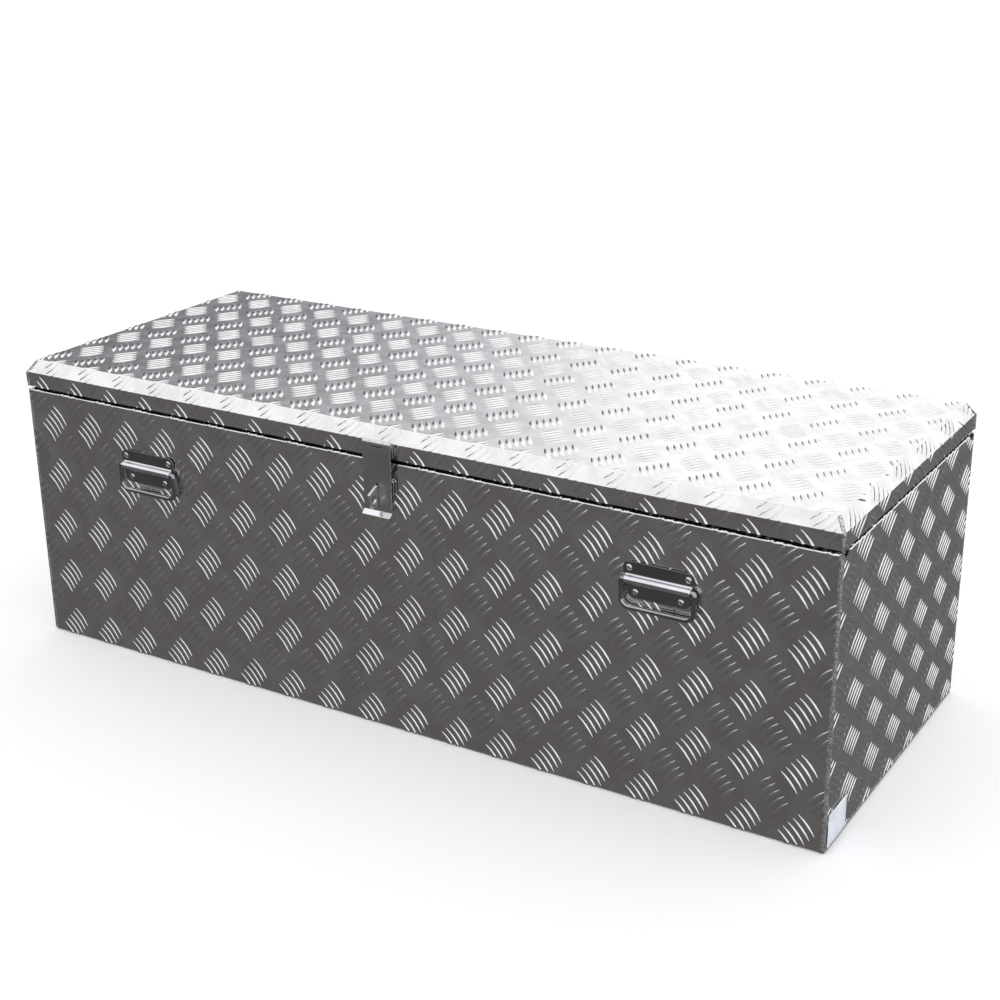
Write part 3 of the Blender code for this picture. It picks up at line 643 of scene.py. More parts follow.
def plate(outer, holes, thickness, ease):
    """A flat plate with eased edges: u and v in its plane and w through it, half each way."""
    curve = bpy.data.curves.new("plan", "CURVE")
    curve.dimensions = "2D"
    curve.fill_mode = "BOTH"
    curve.extrude = thickness / 2 - ease
    curve.bevel_depth = ease
    curve.bevel_resolution = 1
    curve.offset = -ease
    for loop in (outer, *holes):
        spline = curve.splines.new("POLY")
        spline.points.add(len(loop) - 1)
        for point, place in zip(spline.points, loop):
            point.co = (*place, 0, 1)
        spline.use_cyclic_u = True
    item = linked("plan", curve)
    mesh = final_mesh(item)
    bm = bmesh.new()
    bm.from_mesh(mesh)
    bpy.data.objects.remove(item)
    bpy.data.meshes.remove(mesh)
    bpy.data.curves.remove(curve)
    bmesh.ops.remove_doubles(bm, verts=bm.verts, dist=MERGED / 2)
    return bm


def placed(bm, name, place):
    """A flat plate put where place(u, v, w) says."""
    for vert in bm.verts:
        vert.co = place(*vert.co)
    return to_item(bm, name)


def bent(bm, name, path, start, heading):
    """A flat plate with v along it, bent along a path in the upright plane across X."""
    done = 0.0
    for length, radius in path:
        if radius is not None:
            pieces = max(2, round(abs(length / radius) / math.radians(20)))
            for k in range(pieces + 1):
                parts = bm.verts[:] + bm.edges[:] + bm.faces[:]
                spot = (0, done + length * k / pieces, 0)
                bmesh.ops.bisect_plane(bm, geom=parts, plane_co=spot, plane_no=(0, 1, 0), dist=ON_CUT)
        done += length
    spots = np.array([vert.co for vert in bm.verts])
    place = folded(path, start, heading, spots[:, 1], spots[:, 2])
    for vert, spot in zip(bm.verts, place):
        vert.co = (vert.co.x, spot.real, spot.imag)
    return to_item(bm, name)


def skinned(bm, rings, closed=False):
    """Faces between neighbouring rings of points, and over the two ends of an open row."""
    pairs = list(zip(rings, rings[1:])) + ([(rings[-1], rings[0])] if closed else [])
    for one, two in pairs:
        for corners in zip(one, one[1:] + one[:1], two[1:] + two[:1], two):
            bm.faces.new(corners)
    if not closed:
        bm.faces.new(rings[0][::-1])
        bm.faces.new(rings[-1])
    return bm


def swept(bm, path, section, side, closed=False):
    """A tube of any section along a flat path; a section point is (outward, sideways)."""
    side = Vector(side)
    rings = []
    count = len(path)
    for index, here in enumerate(path):
        before = path[index - 1] if closed or index else here
        after = path[(index + 1) % count] if closed or index < count - 1 else here
        first = (Vector(here) - Vector(before)).normalized()
        second = (Vector(after) - Vector(here)).normalized()
        if not first.length:
            first = second
        if not second.length:
            second = first
        along = (first + second).normalized()
        outward = along.cross(side).normalized() / max(0.3, along.dot(first))
        spots = section(index) if callable(section) else section
        rings.append([bm.verts.new(Vector(here) + outward * a + side * b) for a, b in spots])
    return skinned(bm, rings, closed)


AXIS_TURNS = {
    "X": Matrix.Rotation(RIGHT, 4, "Y"),
    "-X": Matrix.Rotation(-RIGHT, 4, "Y"),
    "Y": Matrix.Rotation(-RIGHT, 4, "X"),
    "-Y": Matrix.Rotation(RIGHT, 4, "X"),
}


def turned(bm, profile, place, axis, steps=24):
    """A turned shape from (radius, height) pairs, the first and last on its axis."""
    turn = Matrix.Translation(place) @ AXIS_TURNS[axis]
    rings = []
    for radius, height in profile:
        if radius == 0:
            rings.append([bm.verts.new(turn @ Vector((0, 0, height)))])
            continue
        angles = [2 * math.pi * k / steps for k in range(steps)]
        spots = [Vector((radius * math.cos(a), radius * math.sin(a), height)) for a in angles]
        rings.append([bm.verts.new(turn @ spot) for spot in spots])
    for one, two in zip(rings, rings[1:]):
        for k in range(steps):
            ahead = (k + 1) % steps
            corners = [one[k % len(one)], one[ahead % len(one)], two[ahead % len(two)], two[k % len(two)]]
            # A ring that is one point on the axis gives that corner twice
            corners = list(dict.fromkeys(corners))
            if len(corners) > 2:
                bm.faces.new(corners)
    return bm


def combined(item, others, operation="UNION"):
    """Join solids to an object, or cut them from it."""
    for other in others:
        change = item.modifiers.new("combine", "BOOLEAN")
        change.operation = operation
        change.solver = "EXACT"
        change.object = other
    settled(item)
    for other in others:
        bpy.data.objects.remove(other)
    return evened(item)


# ------------------------------------------------------------------ the fittings
HINGE_RADIUS = 0.003
HINGE_Y = HALF_D + CLEAR + HINGE_RADIUS
HINGE_Z = BODY_HEIGHT + LID_GAP / 2
FRONT_FACE = -HALF_D
SIDES = (("left", -1), ("right", 1))
# How far a sheet is curled round its pin, and the gap between a knuckle and the next leaf's edge
CURL = math.radians(285)
SHOULDER_GAP = 0.0006

# Radii of the rivets' shanks, the plates' holes, the heads and the hole in a head
SHANK = 0.0016
HOLE = 0.0020
HEAD_LARGE = 0.00335
HEAD_SMALL = 0.0028
HEAD_HOLE = 0.00105


def rivet(name, place, axis, head, grip):
    """A blind rivet: a domed head round the broken pin's hole, and the set tail behind."""
    top, tail = head * 0.42, -grip - CLEAR
    profile = [(0, top - 0.0016), (0.0008, top - 0.0015), (0.0010, top - 0.0003), (0.0013, top)]
    profile += [(head * 0.62, top * 0.86), (head * 0.86, top * 0.55), (head, 0.0003), (head * 0.96, 0)]
    profile += [(SHANK, 0), (SHANK, tail), (head * 0.7, tail - 0.0002), (head * 0.72, tail - 0.0007)]
    profile += [(head * 0.45, tail - 0.001), (0, tail - 0.001)]
    bm = turned(bmesh.new(), [(radius, height + CLEAR / 2) for radius, height in profile], place, axis, 20)
    item = to_item(bm, name, 50)
    out = AXIS_TURNS[axis].to_3x3() @ Vector((0, 0, 1))
    # The pin hole in the head gets the dark finish: painted shade in the hole
    metal, shade = range(2)
    for polygon in item.data.polygons:
        spot = polygon.center - Vector(place)
        height = spot.dot(out)
        in_hole = height > 0 and (spot - out * height).length < HEAD_HOLE
        polygon.material_index = shade if in_hole else metal
    return item


# Handles
HANDLE_X = 0.320
HANDLE_PLATE = 0.002
HANDLE_TOP = BODY_HEIGHT - 0.0496
HANDLE_BOTTOM = BODY_HEIGHT - 0.0870
BARREL_Z = BODY_HEIGHT - 0.0678
BARREL_Y = -(HALF_D + 0.0045)
BARREL_HALF = 0.035
BARREL_RADIUS = 0.0041
BARREL_BORE = 0.0031
BAIL_RADIUS = 0.0028
BAIL_HALF = 0.0386
BAIL_BOTTOM = BODY_HEIGHT - 0.0964


def handle_rivet_places(side):
    """Rivet centres of one handle, top left, top right, bottom left, bottom right."""
    rows = ((0.03125, BODY_HEIGHT - 0.0560), (0.02415, BODY_HEIGHT - 0.0805))
    return [(side * HANDLE_X + s * dx, z) for dx, z in rows for s in (-1, 1)]


def handle_plate(name, side):
    """Back plate with a rolled barrel: a hollow fillet above it, round in front, open below."""
    centre = side * HANDLE_X
    notch = 0.005
    ear = 0.0377
    foot = 0.031
    waist = 0.0360
    half = [
        (ear, HANDLE_TOP, 0.007), (ear, BARREL_Z + notch, 0.001), (BARREL_HALF, BARREL_Z + notch, 0),
        (BARREL_HALF, BARREL_Z - notch, 0), (waist, BARREL_Z - notch, 0.0006), (foot, HANDLE_BOTTOM, 0.007),
    ]
    full = half + [(-x, z, r) for x, z, r in half[::-1]]
    shape = rounded([(centre + x, z) for x, z, _ in full], [r for _, _, r in full], 6)
    holes = [circle(place, HOLE, 16) for place in handle_rivet_places(side)]
    level = FRONT_FACE - CLEAR - HANDLE_PLATE / 2
    item = placed(plate(shape, holes, HANDLE_PLATE, 0.0004), name, lambda u, v, w: (u, level + w, v))
    face = level - HANDLE_PLATE / 2
    fillet = 0.0026
    offset = face - fillet - BARREL_Y
    rise = math.sqrt((BARREL_RADIUS + fillet) ** 2 - offset**2)
    lean = math.degrees(math.atan2(rise, offset))
    section = [(face + 0.0006, BARREL_Z + rise)]
    section += arc((face - fillet, BARREL_Z + rise), fillet, 0, lean - 180, 8)
    section += arc((BARREL_Y, BARREL_Z), BARREL_RADIUS, lean, 300, 18)
    section += [(face + 0.0006, BARREL_Z - BARREL_RADIUS * 0.8)]
    bm = bmesh.new()
    soft = 0.0008
    ends = [(-BARREL_HALF, soft), (-BARREL_HALF + soft, 0), (BARREL_HALF - soft, 0), (BARREL_HALF, soft)]
    rings = []
    for x, inset in ends:
        shrink = 1 - inset / BARREL_RADIUS
        spots = [(BARREL_Y + (y - BARREL_Y) * shrink, BARREL_Z + (z - BARREL_Z) * shrink) for y, z in section]
        rings.append([bm.verts.new((centre + x, y, z)) for y, z in spots])
    barrel = to_item(skinned(bm, rings), "barrel")
    reach = BARREL_HALF + 0.01
    profile = [(0, -reach), (BARREL_BORE, -reach), (BARREL_BORE, reach), (0, reach)]
    bore = to_item(turned(bmesh.new(), profile, (centre, BARREL_Y, BARREL_Z), "X", 28), "bore")
    item = combined(combined(item, [barrel]), [bore], "DIFFERENCE")
    # One polished steel in two painted copies: the barrel and fillet get a bright copy as a painted
    # highlight, and the flat face a dark copy as painted shade for its dark reflection
    flat, painted_highlight, edge = range(3)
    for polygon in item.data.polygons:
        if polygon.center.y < face - 0.0003:
            polygon.material_index = painted_highlight
        # Cut edges get a dull dark finish, partly painted shade that dims their highlight
        elif abs(polygon.normal.y) < 0.5 and abs(polygon.center.z - BARREL_Z) > 0.002:
            polygon.material_index = edge
        else:
            polygon.material_index = flat
    return item


def handle_bail(name, side):
    """Ring of round bar: its top runs through the barrel and it hangs down as the grip."""
    centre = side * HANDLE_X
    corners = oblong((-BAIL_HALF, BARREL_Z), (BAIL_HALF, BAIL_BOTTOM))
    path = rounded(corners, [0.0031, 0.0031, 0.009, 0.009], 9)
    spots = [(centre + x, BARREL_Y, z) for x, z in path]
    bm = swept(bmesh.new(), spots, circle((0, 0), BAIL_RADIUS, 24), (0, 1, 0), closed=True)
    return to_item(bm, name, 60)


# Hasp
HASP_SHEET = 0.0018
HASP_RADIUS = 0.0032
HASP_MIDDLE = HASP_RADIUS - HASP_SHEET / 2
HASP_WIDTH = 0.0345
HASP_LEAF_WIDTH = 0.034
HASP_KNUCKLE = 0.008
HASP_PIN_RADIUS = 0.0011
HASP_Y = -(HALF_D + CLEAR + HASP_RADIUS)
HASP_Z = BODY_HEIGHT + 0.0195
STRAP_BOTTOM = BODY_HEIGHT - 0.054
EYE_Z = BODY_HEIGHT - 0.036
KEEPER_RIVETS = [(-0.012, EYE_Z), (0.012, EYE_Z)]
HASP_RIVETS = [(-0.011, BODY_HEIGHT + 0.011), (0.011, BODY_HEIGHT + 0.011)]


def hasp_strap():
    """Strap curled round the pin, slotted for the eye, its end bent out as a finger lip."""
    curl_length = CURL * HASP_MIDDLE
    bend = math.radians(50)
    bend_radius = 0.0026
    drop = HASP_Z - STRAP_BOTTOM - bend_radius * math.tan(bend / 2)
    lip = 0.0056
    path = [hollow(CURL, HASP_MIDDLE), run(drop), convex(bend, bend_radius), run(lip)]
    length = path_length(path)
    half = HASP_WIDTH / 2
    reach = HASP_KNUCKLE + CLEAR
    shoulder = curl_length + HASP_RADIUS + SHOULDER_GAP
    corners = [(-half, 0), (-reach, 0), (-reach, shoulder), (reach, shoulder), (reach, 0), (half, 0)]
    corners += [(half, length), (-half, length)]
    radii = [0.0004, 0.0004, 0.0008, 0.0008, 0.0004, 0.0004, 0.0014, 0.0014]
    shape = rounded(corners, radii, 4)
    middle = curl_length + HASP_Z - EYE_Z
    slot = capsule((0, middle - 0.0112), (0, middle + 0.0112), 0.0018)
    # The curl ends in front of the pin, where the strap hangs down from it
    outward = np.exp(1j * (math.pi - CURL))
    start = complex(HASP_Y, HASP_Z) + HASP_MIDDLE * outward
    heading = 1j * outward
    flat = plate(shape, [slot], HASP_SHEET, 0.00035)
    item = bent(flat, "hasp_strap_sheet", path, (start.real, start.imag), heading)
    # The bent-out lip gets a brighter copy of the steel: a painted highlight where it faces the sky
    brushed, painted_highlight_lip = range(2)
    for polygon in item.data.polygons:
        polygon.material_index = painted_highlight_lip if polygon.center.z < STRAP_BOTTOM + 0.0005 else brushed
    return item


def hasp_leaf():
    """Leaf on the lid's skirt, curled over the pin at its middle only."""
    plate_y = FRONT_FACE - CLEAR - HASP_SHEET / 2
    bottom = LID_BOTTOM + 0.0015
    rise = HASP_Z - bottom
    path = [run(rise), hollow(CURL, HASP_MIDDLE)]
    length = path_length(path)
    half = HASP_LEAF_WIDTH / 2
    shoulder = rise - HASP_RADIUS - SHOULDER_GAP
    corners = [(-half, 0), (half, 0), (half, shoulder), (HASP_KNUCKLE, shoulder), (HASP_KNUCKLE, length)]
    corners += [(-HASP_KNUCKLE, length), (-HASP_KNUCKLE, shoulder), (-half, shoulder)]
    radii = [0.002, 0.002, 0.001, 0.0008, 0.0004, 0.0004, 0.0008, 0.001]
    shape = rounded(corners, radii, 4)
    holes = [circle((x, z - bottom), HOLE, 16) for x, z in HASP_RIVETS]
    return bent(plate(shape, holes, HASP_SHEET, 0.00035), "hasp_leaf_sheet", path, (plate_y, bottom), 1j)


def pin_rod(name, centre, radius, length):
    """A hinge pin with peened ends."""
    half = length / 2
    profile = [(0, -half), (radius * 0.7, -half + 0.0001), (radius, -half + 0.0005)]
    profile += [(r, -h) for r, h in profile[::-1]]
    return to_item(turned(bmesh.new(), profile, centre, "X", 16), name, 50)


def lock_eye():
    """Padlock eye with a sloping top edge, on a neck through the strap's slot with a toe behind."""
    base = HASP_Y - HASP_RADIUS - CLEAR
    tip = base - 0.0155
    corners = [(base, EYE_Z - 0.012), (tip, EYE_Z - 0.0105), (tip, EYE_Z + 0.0048), (base, EYE_Z + 0.0118)]
    shape = rounded(corners, [0.0012, 0.0045, 0.0022, 0.0012], 5)
    hole = circle((base - 0.0076, EYE_Z - 0.0022), 0.0045, 24)
    item = placed(plate(shape, [hole], 0.003, 0.0004), "lock_eye_plate", lambda u, v, w: (w, u, v))
    toe = HASP_Y - HASP_RADIUS + HASP_SHEET + CLEAR
    bottom = base - 0.0006
    profile = [(0, bottom), (0.0015, bottom), (0.0015, toe), (0.0046, toe), (0.0050, toe + 0.0003)]
    profile += [(0.0050, toe + 0.0011), (0.0045, toe + 0.0015), (0, toe + 0.0015)]
    neck = to_item(turned(bmesh.new(), profile, (0, 0, EYE_Z), "Y", 24), "neck")
    return combined(item, [neck])


def keeper_plate():
    """Backing plate on the body behind the strap's slot."""
    half = 0.017
    shape = rounded(oblong((-half, EYE_Z - half), (half, EYE_Z + half)), 0.003, 5)
    holes = [circle(place, HOLE, 16) for place in KEEPER_RIVETS]
    level = FRONT_FACE - CLEAR - HASP_SHEET / 2
    return placed(plate(shape, holes, HASP_SHEET, 0.0004), "keeper_plate", lambda u, v, w: (u, level + w, v))


# Piano hinge
HINGE_SHEET = 0.0015
HINGE_MIDDLE = HINGE_RADIUS - HINGE_SHEET / 2
HINGE_HALF = 0.47
HINGE_KNUCKLES = 24
HINGE_PIN_RADIUS = 0.0012
HINGE_RIVET_X = [0.80 * (i / 5 - 0.5) for i in range(6)]
# Each leaf's name, body, direction up or down, reach from the pin and rivets' distance from it
HINGE_LEAVES = (("body", "box", -1, 0.020, 0.013), ("lid", "lid", 1, 0.0165, 0.0105))


def hinge_leaf(name, reach, rivets, up):
    """A leaf on the rear face, curled round the pin; up is 1 on the lid and -1 on the body.

    Every second knuckle is a gap, the first one on the lid and the second one on the body.
    """
    gaps = int(up < 0)
    path = [run(reach), (CURL * HINGE_MIDDLE, -up * HINGE_MIDDLE)]
    length = path_length(path)
    shoulder = reach - HINGE_RADIUS - SHOULDER_GAP
    pitch = 2 * HINGE_HALF / HINGE_KNUCKLES
    corners = [(-HINGE_HALF, 0, 0.003), (HINGE_HALF, 0, 0.003)]
    last = HINGE_KNUCKLES - 1
    for index in range(last, -1, -1):
        left = -HINGE_HALF + index * pitch + (CLEAR / 2 if index else 0)
        right = -HINGE_HALF + (index + 1) * pitch - (CLEAR / 2 if index < last else 0)
        if index % 2 == gaps:
            if index in (0, last):
                corners.append((left if index == 0 else right, shoulder, 0.0004))
            continue
        if index < last:
            corners.append((right, shoulder, 0.0004))
        corners += [(right, length, 0), (left, length, 0)]
        if index:
            corners.append((left, shoulder, 0.0004))
    shape = rounded([(u, v) for u, v, _ in corners], [r for _, _, r in corners], 3)
    holes = [circle((x, reach - rivets), HOLE, 16) for x in HINGE_RIVET_X]
    start = (HALF_D + CLEAR + HINGE_SHEET / 2, HINGE_Z + up * reach)
    return bent(plate(shape, holes, HINGE_SHEET, 0.0002), name, path, start, -1j * up)


# Lid stays
STAY_X = 0.4765
STAY_SHEET = 0.002
STAY_GAP = 0.0005
STAY_RADIUS = 0.120
STAY_BORE = 0.0033
STAY_SHANK = 0.003
BRACKET_SHEET = 0.002
BRACKET_FOOT = 0.020
BRACKET_MARGIN = 0.009
STAY_STUD_ANGLE = math.radians(35.0)
STAY_PIN_ANGLE = math.radians(-4.8)
STAY_SWEEP = STAY_STUD_ANGLE - STAY_PIN_ANGLE
LID_OPENING = math.radians(85.0)


def stay_point(angle):
    """A point at the stays' radius in front of the hinge, angle below the level."""
    return Vector((HINGE_Y - STAY_RADIUS * math.cos(angle), HINGE_Z - STAY_RADIUS * math.sin(angle)))


STUD = stay_point(STAY_STUD_ANGLE)
PIN = stay_point(STAY_PIN_ANGLE)


def stay_arm(name, side):
    """Slotted arm from the lid's pin past the wall's stud."""
    along = (STUD - PIN).normalized()
    near = 2 * STAY_RADIUS * math.sin(STAY_SWEEP / 2) - STAY_GAP
    far = 2 * STAY_RADIUS * math.sin((STAY_SWEEP + LID_OPENING) / 2) + STAY_GAP
    outer = capsule(PIN, PIN + along * (far + 0.0115), 0.007, 12)
    slot = capsule(PIN + along * near, PIN + along * far, 0.0035, 10)
    holes = [slot, circle(PIN, STAY_BORE, 20)]
    return placed(plate(outer, holes, STAY_SHEET, 0.0003), name, lambda u, v, w: (side * STAY_X + w, u, v))


def eased(profile, ease=0.00025):
    """A turned profile with its corners cut back a little."""
    result = [profile[0]]
    for before, here, after in zip(profile, profile[1:], profile[2:]):
        for other in (before, after):
            step = Vector(other) - Vector(here)
            result.append(tuple(Vector(here) + step * min(0.45, ease / step.length)))
    return result + [profile[-1]]


def inward(profile, depth, place, side, name):
    """A turned piece whose profile runs from a depth beside one end towards the box's middle."""
    axis = "-X" if side > 0 else "X"
    return to_item(turned(bmesh.new(), eased(profile), (side * depth, *place), axis, 28), name)


def stay_stud(name, side):
    """Shouldered stud on the inside of the end wall, with a collar and a head round the arm."""
    wall = HALF_W - PLATE - CLEAR
    outer, inner = STAY_X + STAY_SHEET / 2, STAY_X - STAY_SHEET / 2
    depths = [inner - 0.0020, inner - STAY_GAP, outer + STAY_GAP, outer + 0.0015, wall - 0.002, wall]
    profile = [(0, wall - depths[0])]
    for index, radius in enumerate((0.0055, STAY_SHANK, 0.0055, STAY_SHANK, 0.009)):
        profile.append((radius, wall - depths[index]))
        profile.append((radius, wall - depths[index + 1]))
    profile.append((0, 0))
    return inward(profile, wall, STUD, side, name)


def stay_pin(name, side):
    """Rivet pin through the bracket's tab and the arm, headed at both ends."""
    head, inner_head, outer_head = 0.005, 0.0018, 0.0015
    outer = STAY_X + STAY_SHEET / 2 + outer_head
    tab_in = STAY_X - STAY_SHEET / 2 - STAY_GAP - BRACKET_SHEET
    top = outer - (tab_in - inner_head)
    low, high = outer_head - CLEAR, top - (inner_head - CLEAR)
    profile = [(0, top), (head, top), (head, high), (STAY_SHANK, high)]
    profile += [(STAY_SHANK, low), (head, low), (head, 0), (0, 0)]
    return inward(profile, outer, PIN, side, name)


def lid_bracket(name, side):
    """An angle under the lid whose hanging tab carries the stay's pin."""
    tab = STAY_X - STAY_SHEET / 2 - STAY_GAP - BRACKET_SHEET / 2
    under = LID_TOP - PLATE - CLEAR - BRACKET_SHEET / 2
    bend = 0.002
    drop = under - bend - (PIN.y - BRACKET_MARGIN)
    path = [run(BRACKET_FOOT - bend), convex(RIGHT, bend), run(drop)]
    length = path_length(path)
    corners = oblong((PIN.x - 0.015, 0), (PIN.x + 0.015, length))
    shape = rounded(corners, [0.003, 0.003, 0.0085, 0.0085], 6)
    hole = circle((PIN.x, length - BRACKET_MARGIN), STAY_BORE, 20)
    flat = plate(shape, [hole], BRACKET_SHEET, 0.0003)
    item = bent(flat, name, path, (tab - BRACKET_FOOT, under), 1)
    for vert in item.data.vertices:
        vert.co = (side * vert.co.y, vert.co.x, vert.co.z)
    if side > 0:
        item.data.flip_normals()
    return evened(item)


# Seal, welds and label
def rim_seal():
    """Rubber bulb on a clip that grips the upstand."""
    inset = UPSTAND_INSET + PLATE / 2
    half_x, half_y = HALF_W - inset, HALF_D - inset
    bulb = 0.005
    level = UPSTAND_TOP + CLEAR + bulb
    corners = rounded(oblong((-half_x, -half_y), (half_x, half_y)), 0.012, 8)
    path = [(x, y, level) for x, y in corners]
    leg, grip, foot, roof = 0.0031, 0.0018, -0.0125, -bulb - 0.0002
    section = arc((0, 0), bulb, -50, 230, 20)
    section += [(-leg, foot), (-grip, foot), (-grip, roof), (grip, roof), (grip, foot), (leg, foot)]
    return to_item(swept(bmesh.new(), path, section, (0, 0, 1), closed=True), "rim_seal_strip", 40)


WELD_STEP = 0.0012
LID_WELD_STEP = 0.0013
chance = np.random.default_rng(7)


def stepped(points, step):
    """Points about one step apart along a polyline."""
    result = []
    for start, end in zip(points, points[1:]):
        start, end = Vector(start), Vector(end)
        pieces = max(1, round((end - start).length / step))
        result += [start.lerp(end, k / pieces) for k in range(pieces)]
    return result + [Vector(points[-1])]


def end_weld(name, side):
    """Ground weld that fills the open corner, from the front rim under the bottom to the rear rim."""
    top = BODY_HEIGHT - 0.0008
    edge = HALF_D
    corners = rounded([(-edge, top), (-edge, 0.0002), (edge, 0.0002), (edge, top)], 0.003, 4, False)
    path = stepped([(side * HALF_W, y, z) for y, z in corners], WELD_STEP)
    bead = [(-0.0011, -0.0046, 0), (-0.0006, -0.0040, 0.6), (-0.0004, -0.0030, 1), (-0.0004, -0.0019, 0.7)]
    bead += [(-0.0007, -0.0010, 0.3)]
    outline = bead + [(b, a, bump) for a, b, bump in bead[::-1]] + [(-0.0030, -0.0030, 0)]
    ripple = chance.uniform(-0.00022, 0.0001, len(path))

    def section(index):
        spots = []
        for order, (a, b, bump) in enumerate(outline):
            lift = ripple[index] * bump
            front = order < len(bead)
            spots.append((a + lift * front, side * (b + lift * (not front))))
        return spots

    return to_item(swept(bmesh.new(), path, section, (1, 0, 0)), name, 60)


def as_flat(bm, kind):
    """A bmesh as a Flat of one kind."""
    bmesh.ops.recalc_face_normals(bm, faces=bm.faces)
    bmesh.ops.triangulate(bm, faces=bm.faces)
    bm.verts.index_update()
    points = np.array([vert.co for vert in bm.verts])
    faces = np.array([[vert.index for vert in face.verts] for face in bm.faces])
    bm.free()
    return Flat(points, faces, np.full(len(faces), kind))


def lid_corner_welds():
    """The ground beads along the four mitred corners of the lid."""
    rings = circle((0, 0), 1, 10)
    result = []
    for x_sign in (-1, 1):
        for y_sign in (-1, 1):
            inner = (x_sign * (HALF_W - CHAMFER_INSET), y_sign * (HALF_D - CHAMFER_INSET), LID_TOP - 0.0016)
            outer = (x_sign * (HALF_W - 0.0013), y_sign * (HALF_D - 0.0013), LID_TOP - CHAMFER_RISE - 0.0006)
            foot = (outer[0], outer[1], LID_BOTTOM + 0.0004)
            path = stepped([inner, outer, foot], LID_WELD_STEP)
            ripple = chance.uniform(0.88, 1.05, len(path))
            side = Vector((y_sign, -x_sign, 0)).normalized()
            sections = [[(0.0013 * a * size, 0.0021 * b * size) for a, b in rings] for size in ripple]
            bead = swept(bmesh.new(), path, lambda index: sections[index], side)
            result.append(as_flat(bead, Flat.WELD))
    return result


def label():
    """Blank label with rounded corners at the front bottom corner of the right end."""
    shape = rounded(oblong((-0.188, 0.005), (-0.141, 0.041)), 0.0016, 5)
    thickness = 0.0003
    level = HALF_W + CLEAR + thickness / 2
    return placed(plate(shape, [], thickness, 0.00008), "label_sheet", lambda u, v, w: (level + w, u, v))


# ------------------------------------------------------------------- materials
def add(tree, kind, inputs=None, **settings):
    """A node with its inputs set from values or linked from other nodes' sockets."""
    node = tree.nodes.new(kind)
    for key, value in settings.items():
        setattr(node, key, value)
    for key, value in (inputs or {}).items():
        if isinstance(value, bpy.types.NodeSocket):
            tree.links.new(value, node.inputs[key])
        else:
            node.inputs[key].default_value = value
    return node


def noise(tree, place, scale, detail=3.0, stretch=(1, 1, 1), turn=(0, 0, 0)):
    """A noise from 0 to 1, stretched and turned in the object's own metres."""
    mapped = add(tree, "ShaderNodeMapping", {"Vector": place, "Scale": stretch, "Rotation": turn})
    inputs = {"Vector": mapped.outputs[0], "Scale": scale, "Detail": detail}
    return add(tree, "ShaderNodeTexNoise", inputs).outputs[0]


def ranged(tree, value, low, high, start, end):
    """From low where the value is start to high where it is end, and no further."""
    inputs = {"Value": value, "From Min": start, "From Max": end, "To Min": low, "To Max": high}
    return add(tree, "ShaderNodeMapRange", inputs).outputs[0]


def maths(tree, operation, first, second):
    """The sum, product or larger one of two values."""
    return add(tree, "ShaderNodeMath", {0: first, 1: second}, operation=operation).outputs[0]


def overlaid(tree, factor, below, above):
    """Colour sockets or plain colours, from below at factor 0 to above at 1."""
    mix = add(tree, "ShaderNodeMix", {"Factor": factor}, data_type="RGBA")
    for socket, colour in ((mix.inputs[6], below), (mix.inputs[7], above)):
        if isinstance(colour, tuple):
            socket.default_value = (*colour, 1)
        else:
            tree.links.new(colour, socket)
    return mix.outputs[2]


def surface(name, metallic, colours, roughness, patch, grain, stretch=(1, 1, 1), turn=0.0, relief=0.0):
    """A surface whose colour and roughness vary in patches and along a fine grain.

    colours and roughness are (low, high) pairs, and patch and grain are noise scales. The grain
    is stretched, turned by some degrees about Y, and raised by relief.
    """
    material = bpy.data.materials.new(name)
    material.use_nodes = True
    tree = material.node_tree
    shader = tree.nodes["Principled BSDF"]
    shader.inputs["Metallic"].default_value = metallic
    place = add(tree, "ShaderNodeTexCoord").outputs["Object"]
    patches = noise(tree, place, patch)
    fine = noise(tree, place, grain, 4.0, stretch, (0, math.radians(turn), 0))
    tint = ranged(tree, patches, 0.0, 1.0, 0.40, 0.60)
    tree.links.new(overlaid(tree, tint, *colours), shader.inputs["Base Color"])
    both = maths(tree, "ADD", patches, fine)
    tree.links.new(ranged(tree, both, *roughness, 0.7, 1.3), shader.inputs["Roughness"])
    if relief:
        bump = add(tree, "ShaderNodeBump", {"Height": fine, "Strength": 0.35, "Distance": relief})
        tree.links.new(bump.outputs[0], shader.inputs["Normal"])
    return material


def grey(level, warmth=0.0):
    return (level + warmth, level, level - warmth)


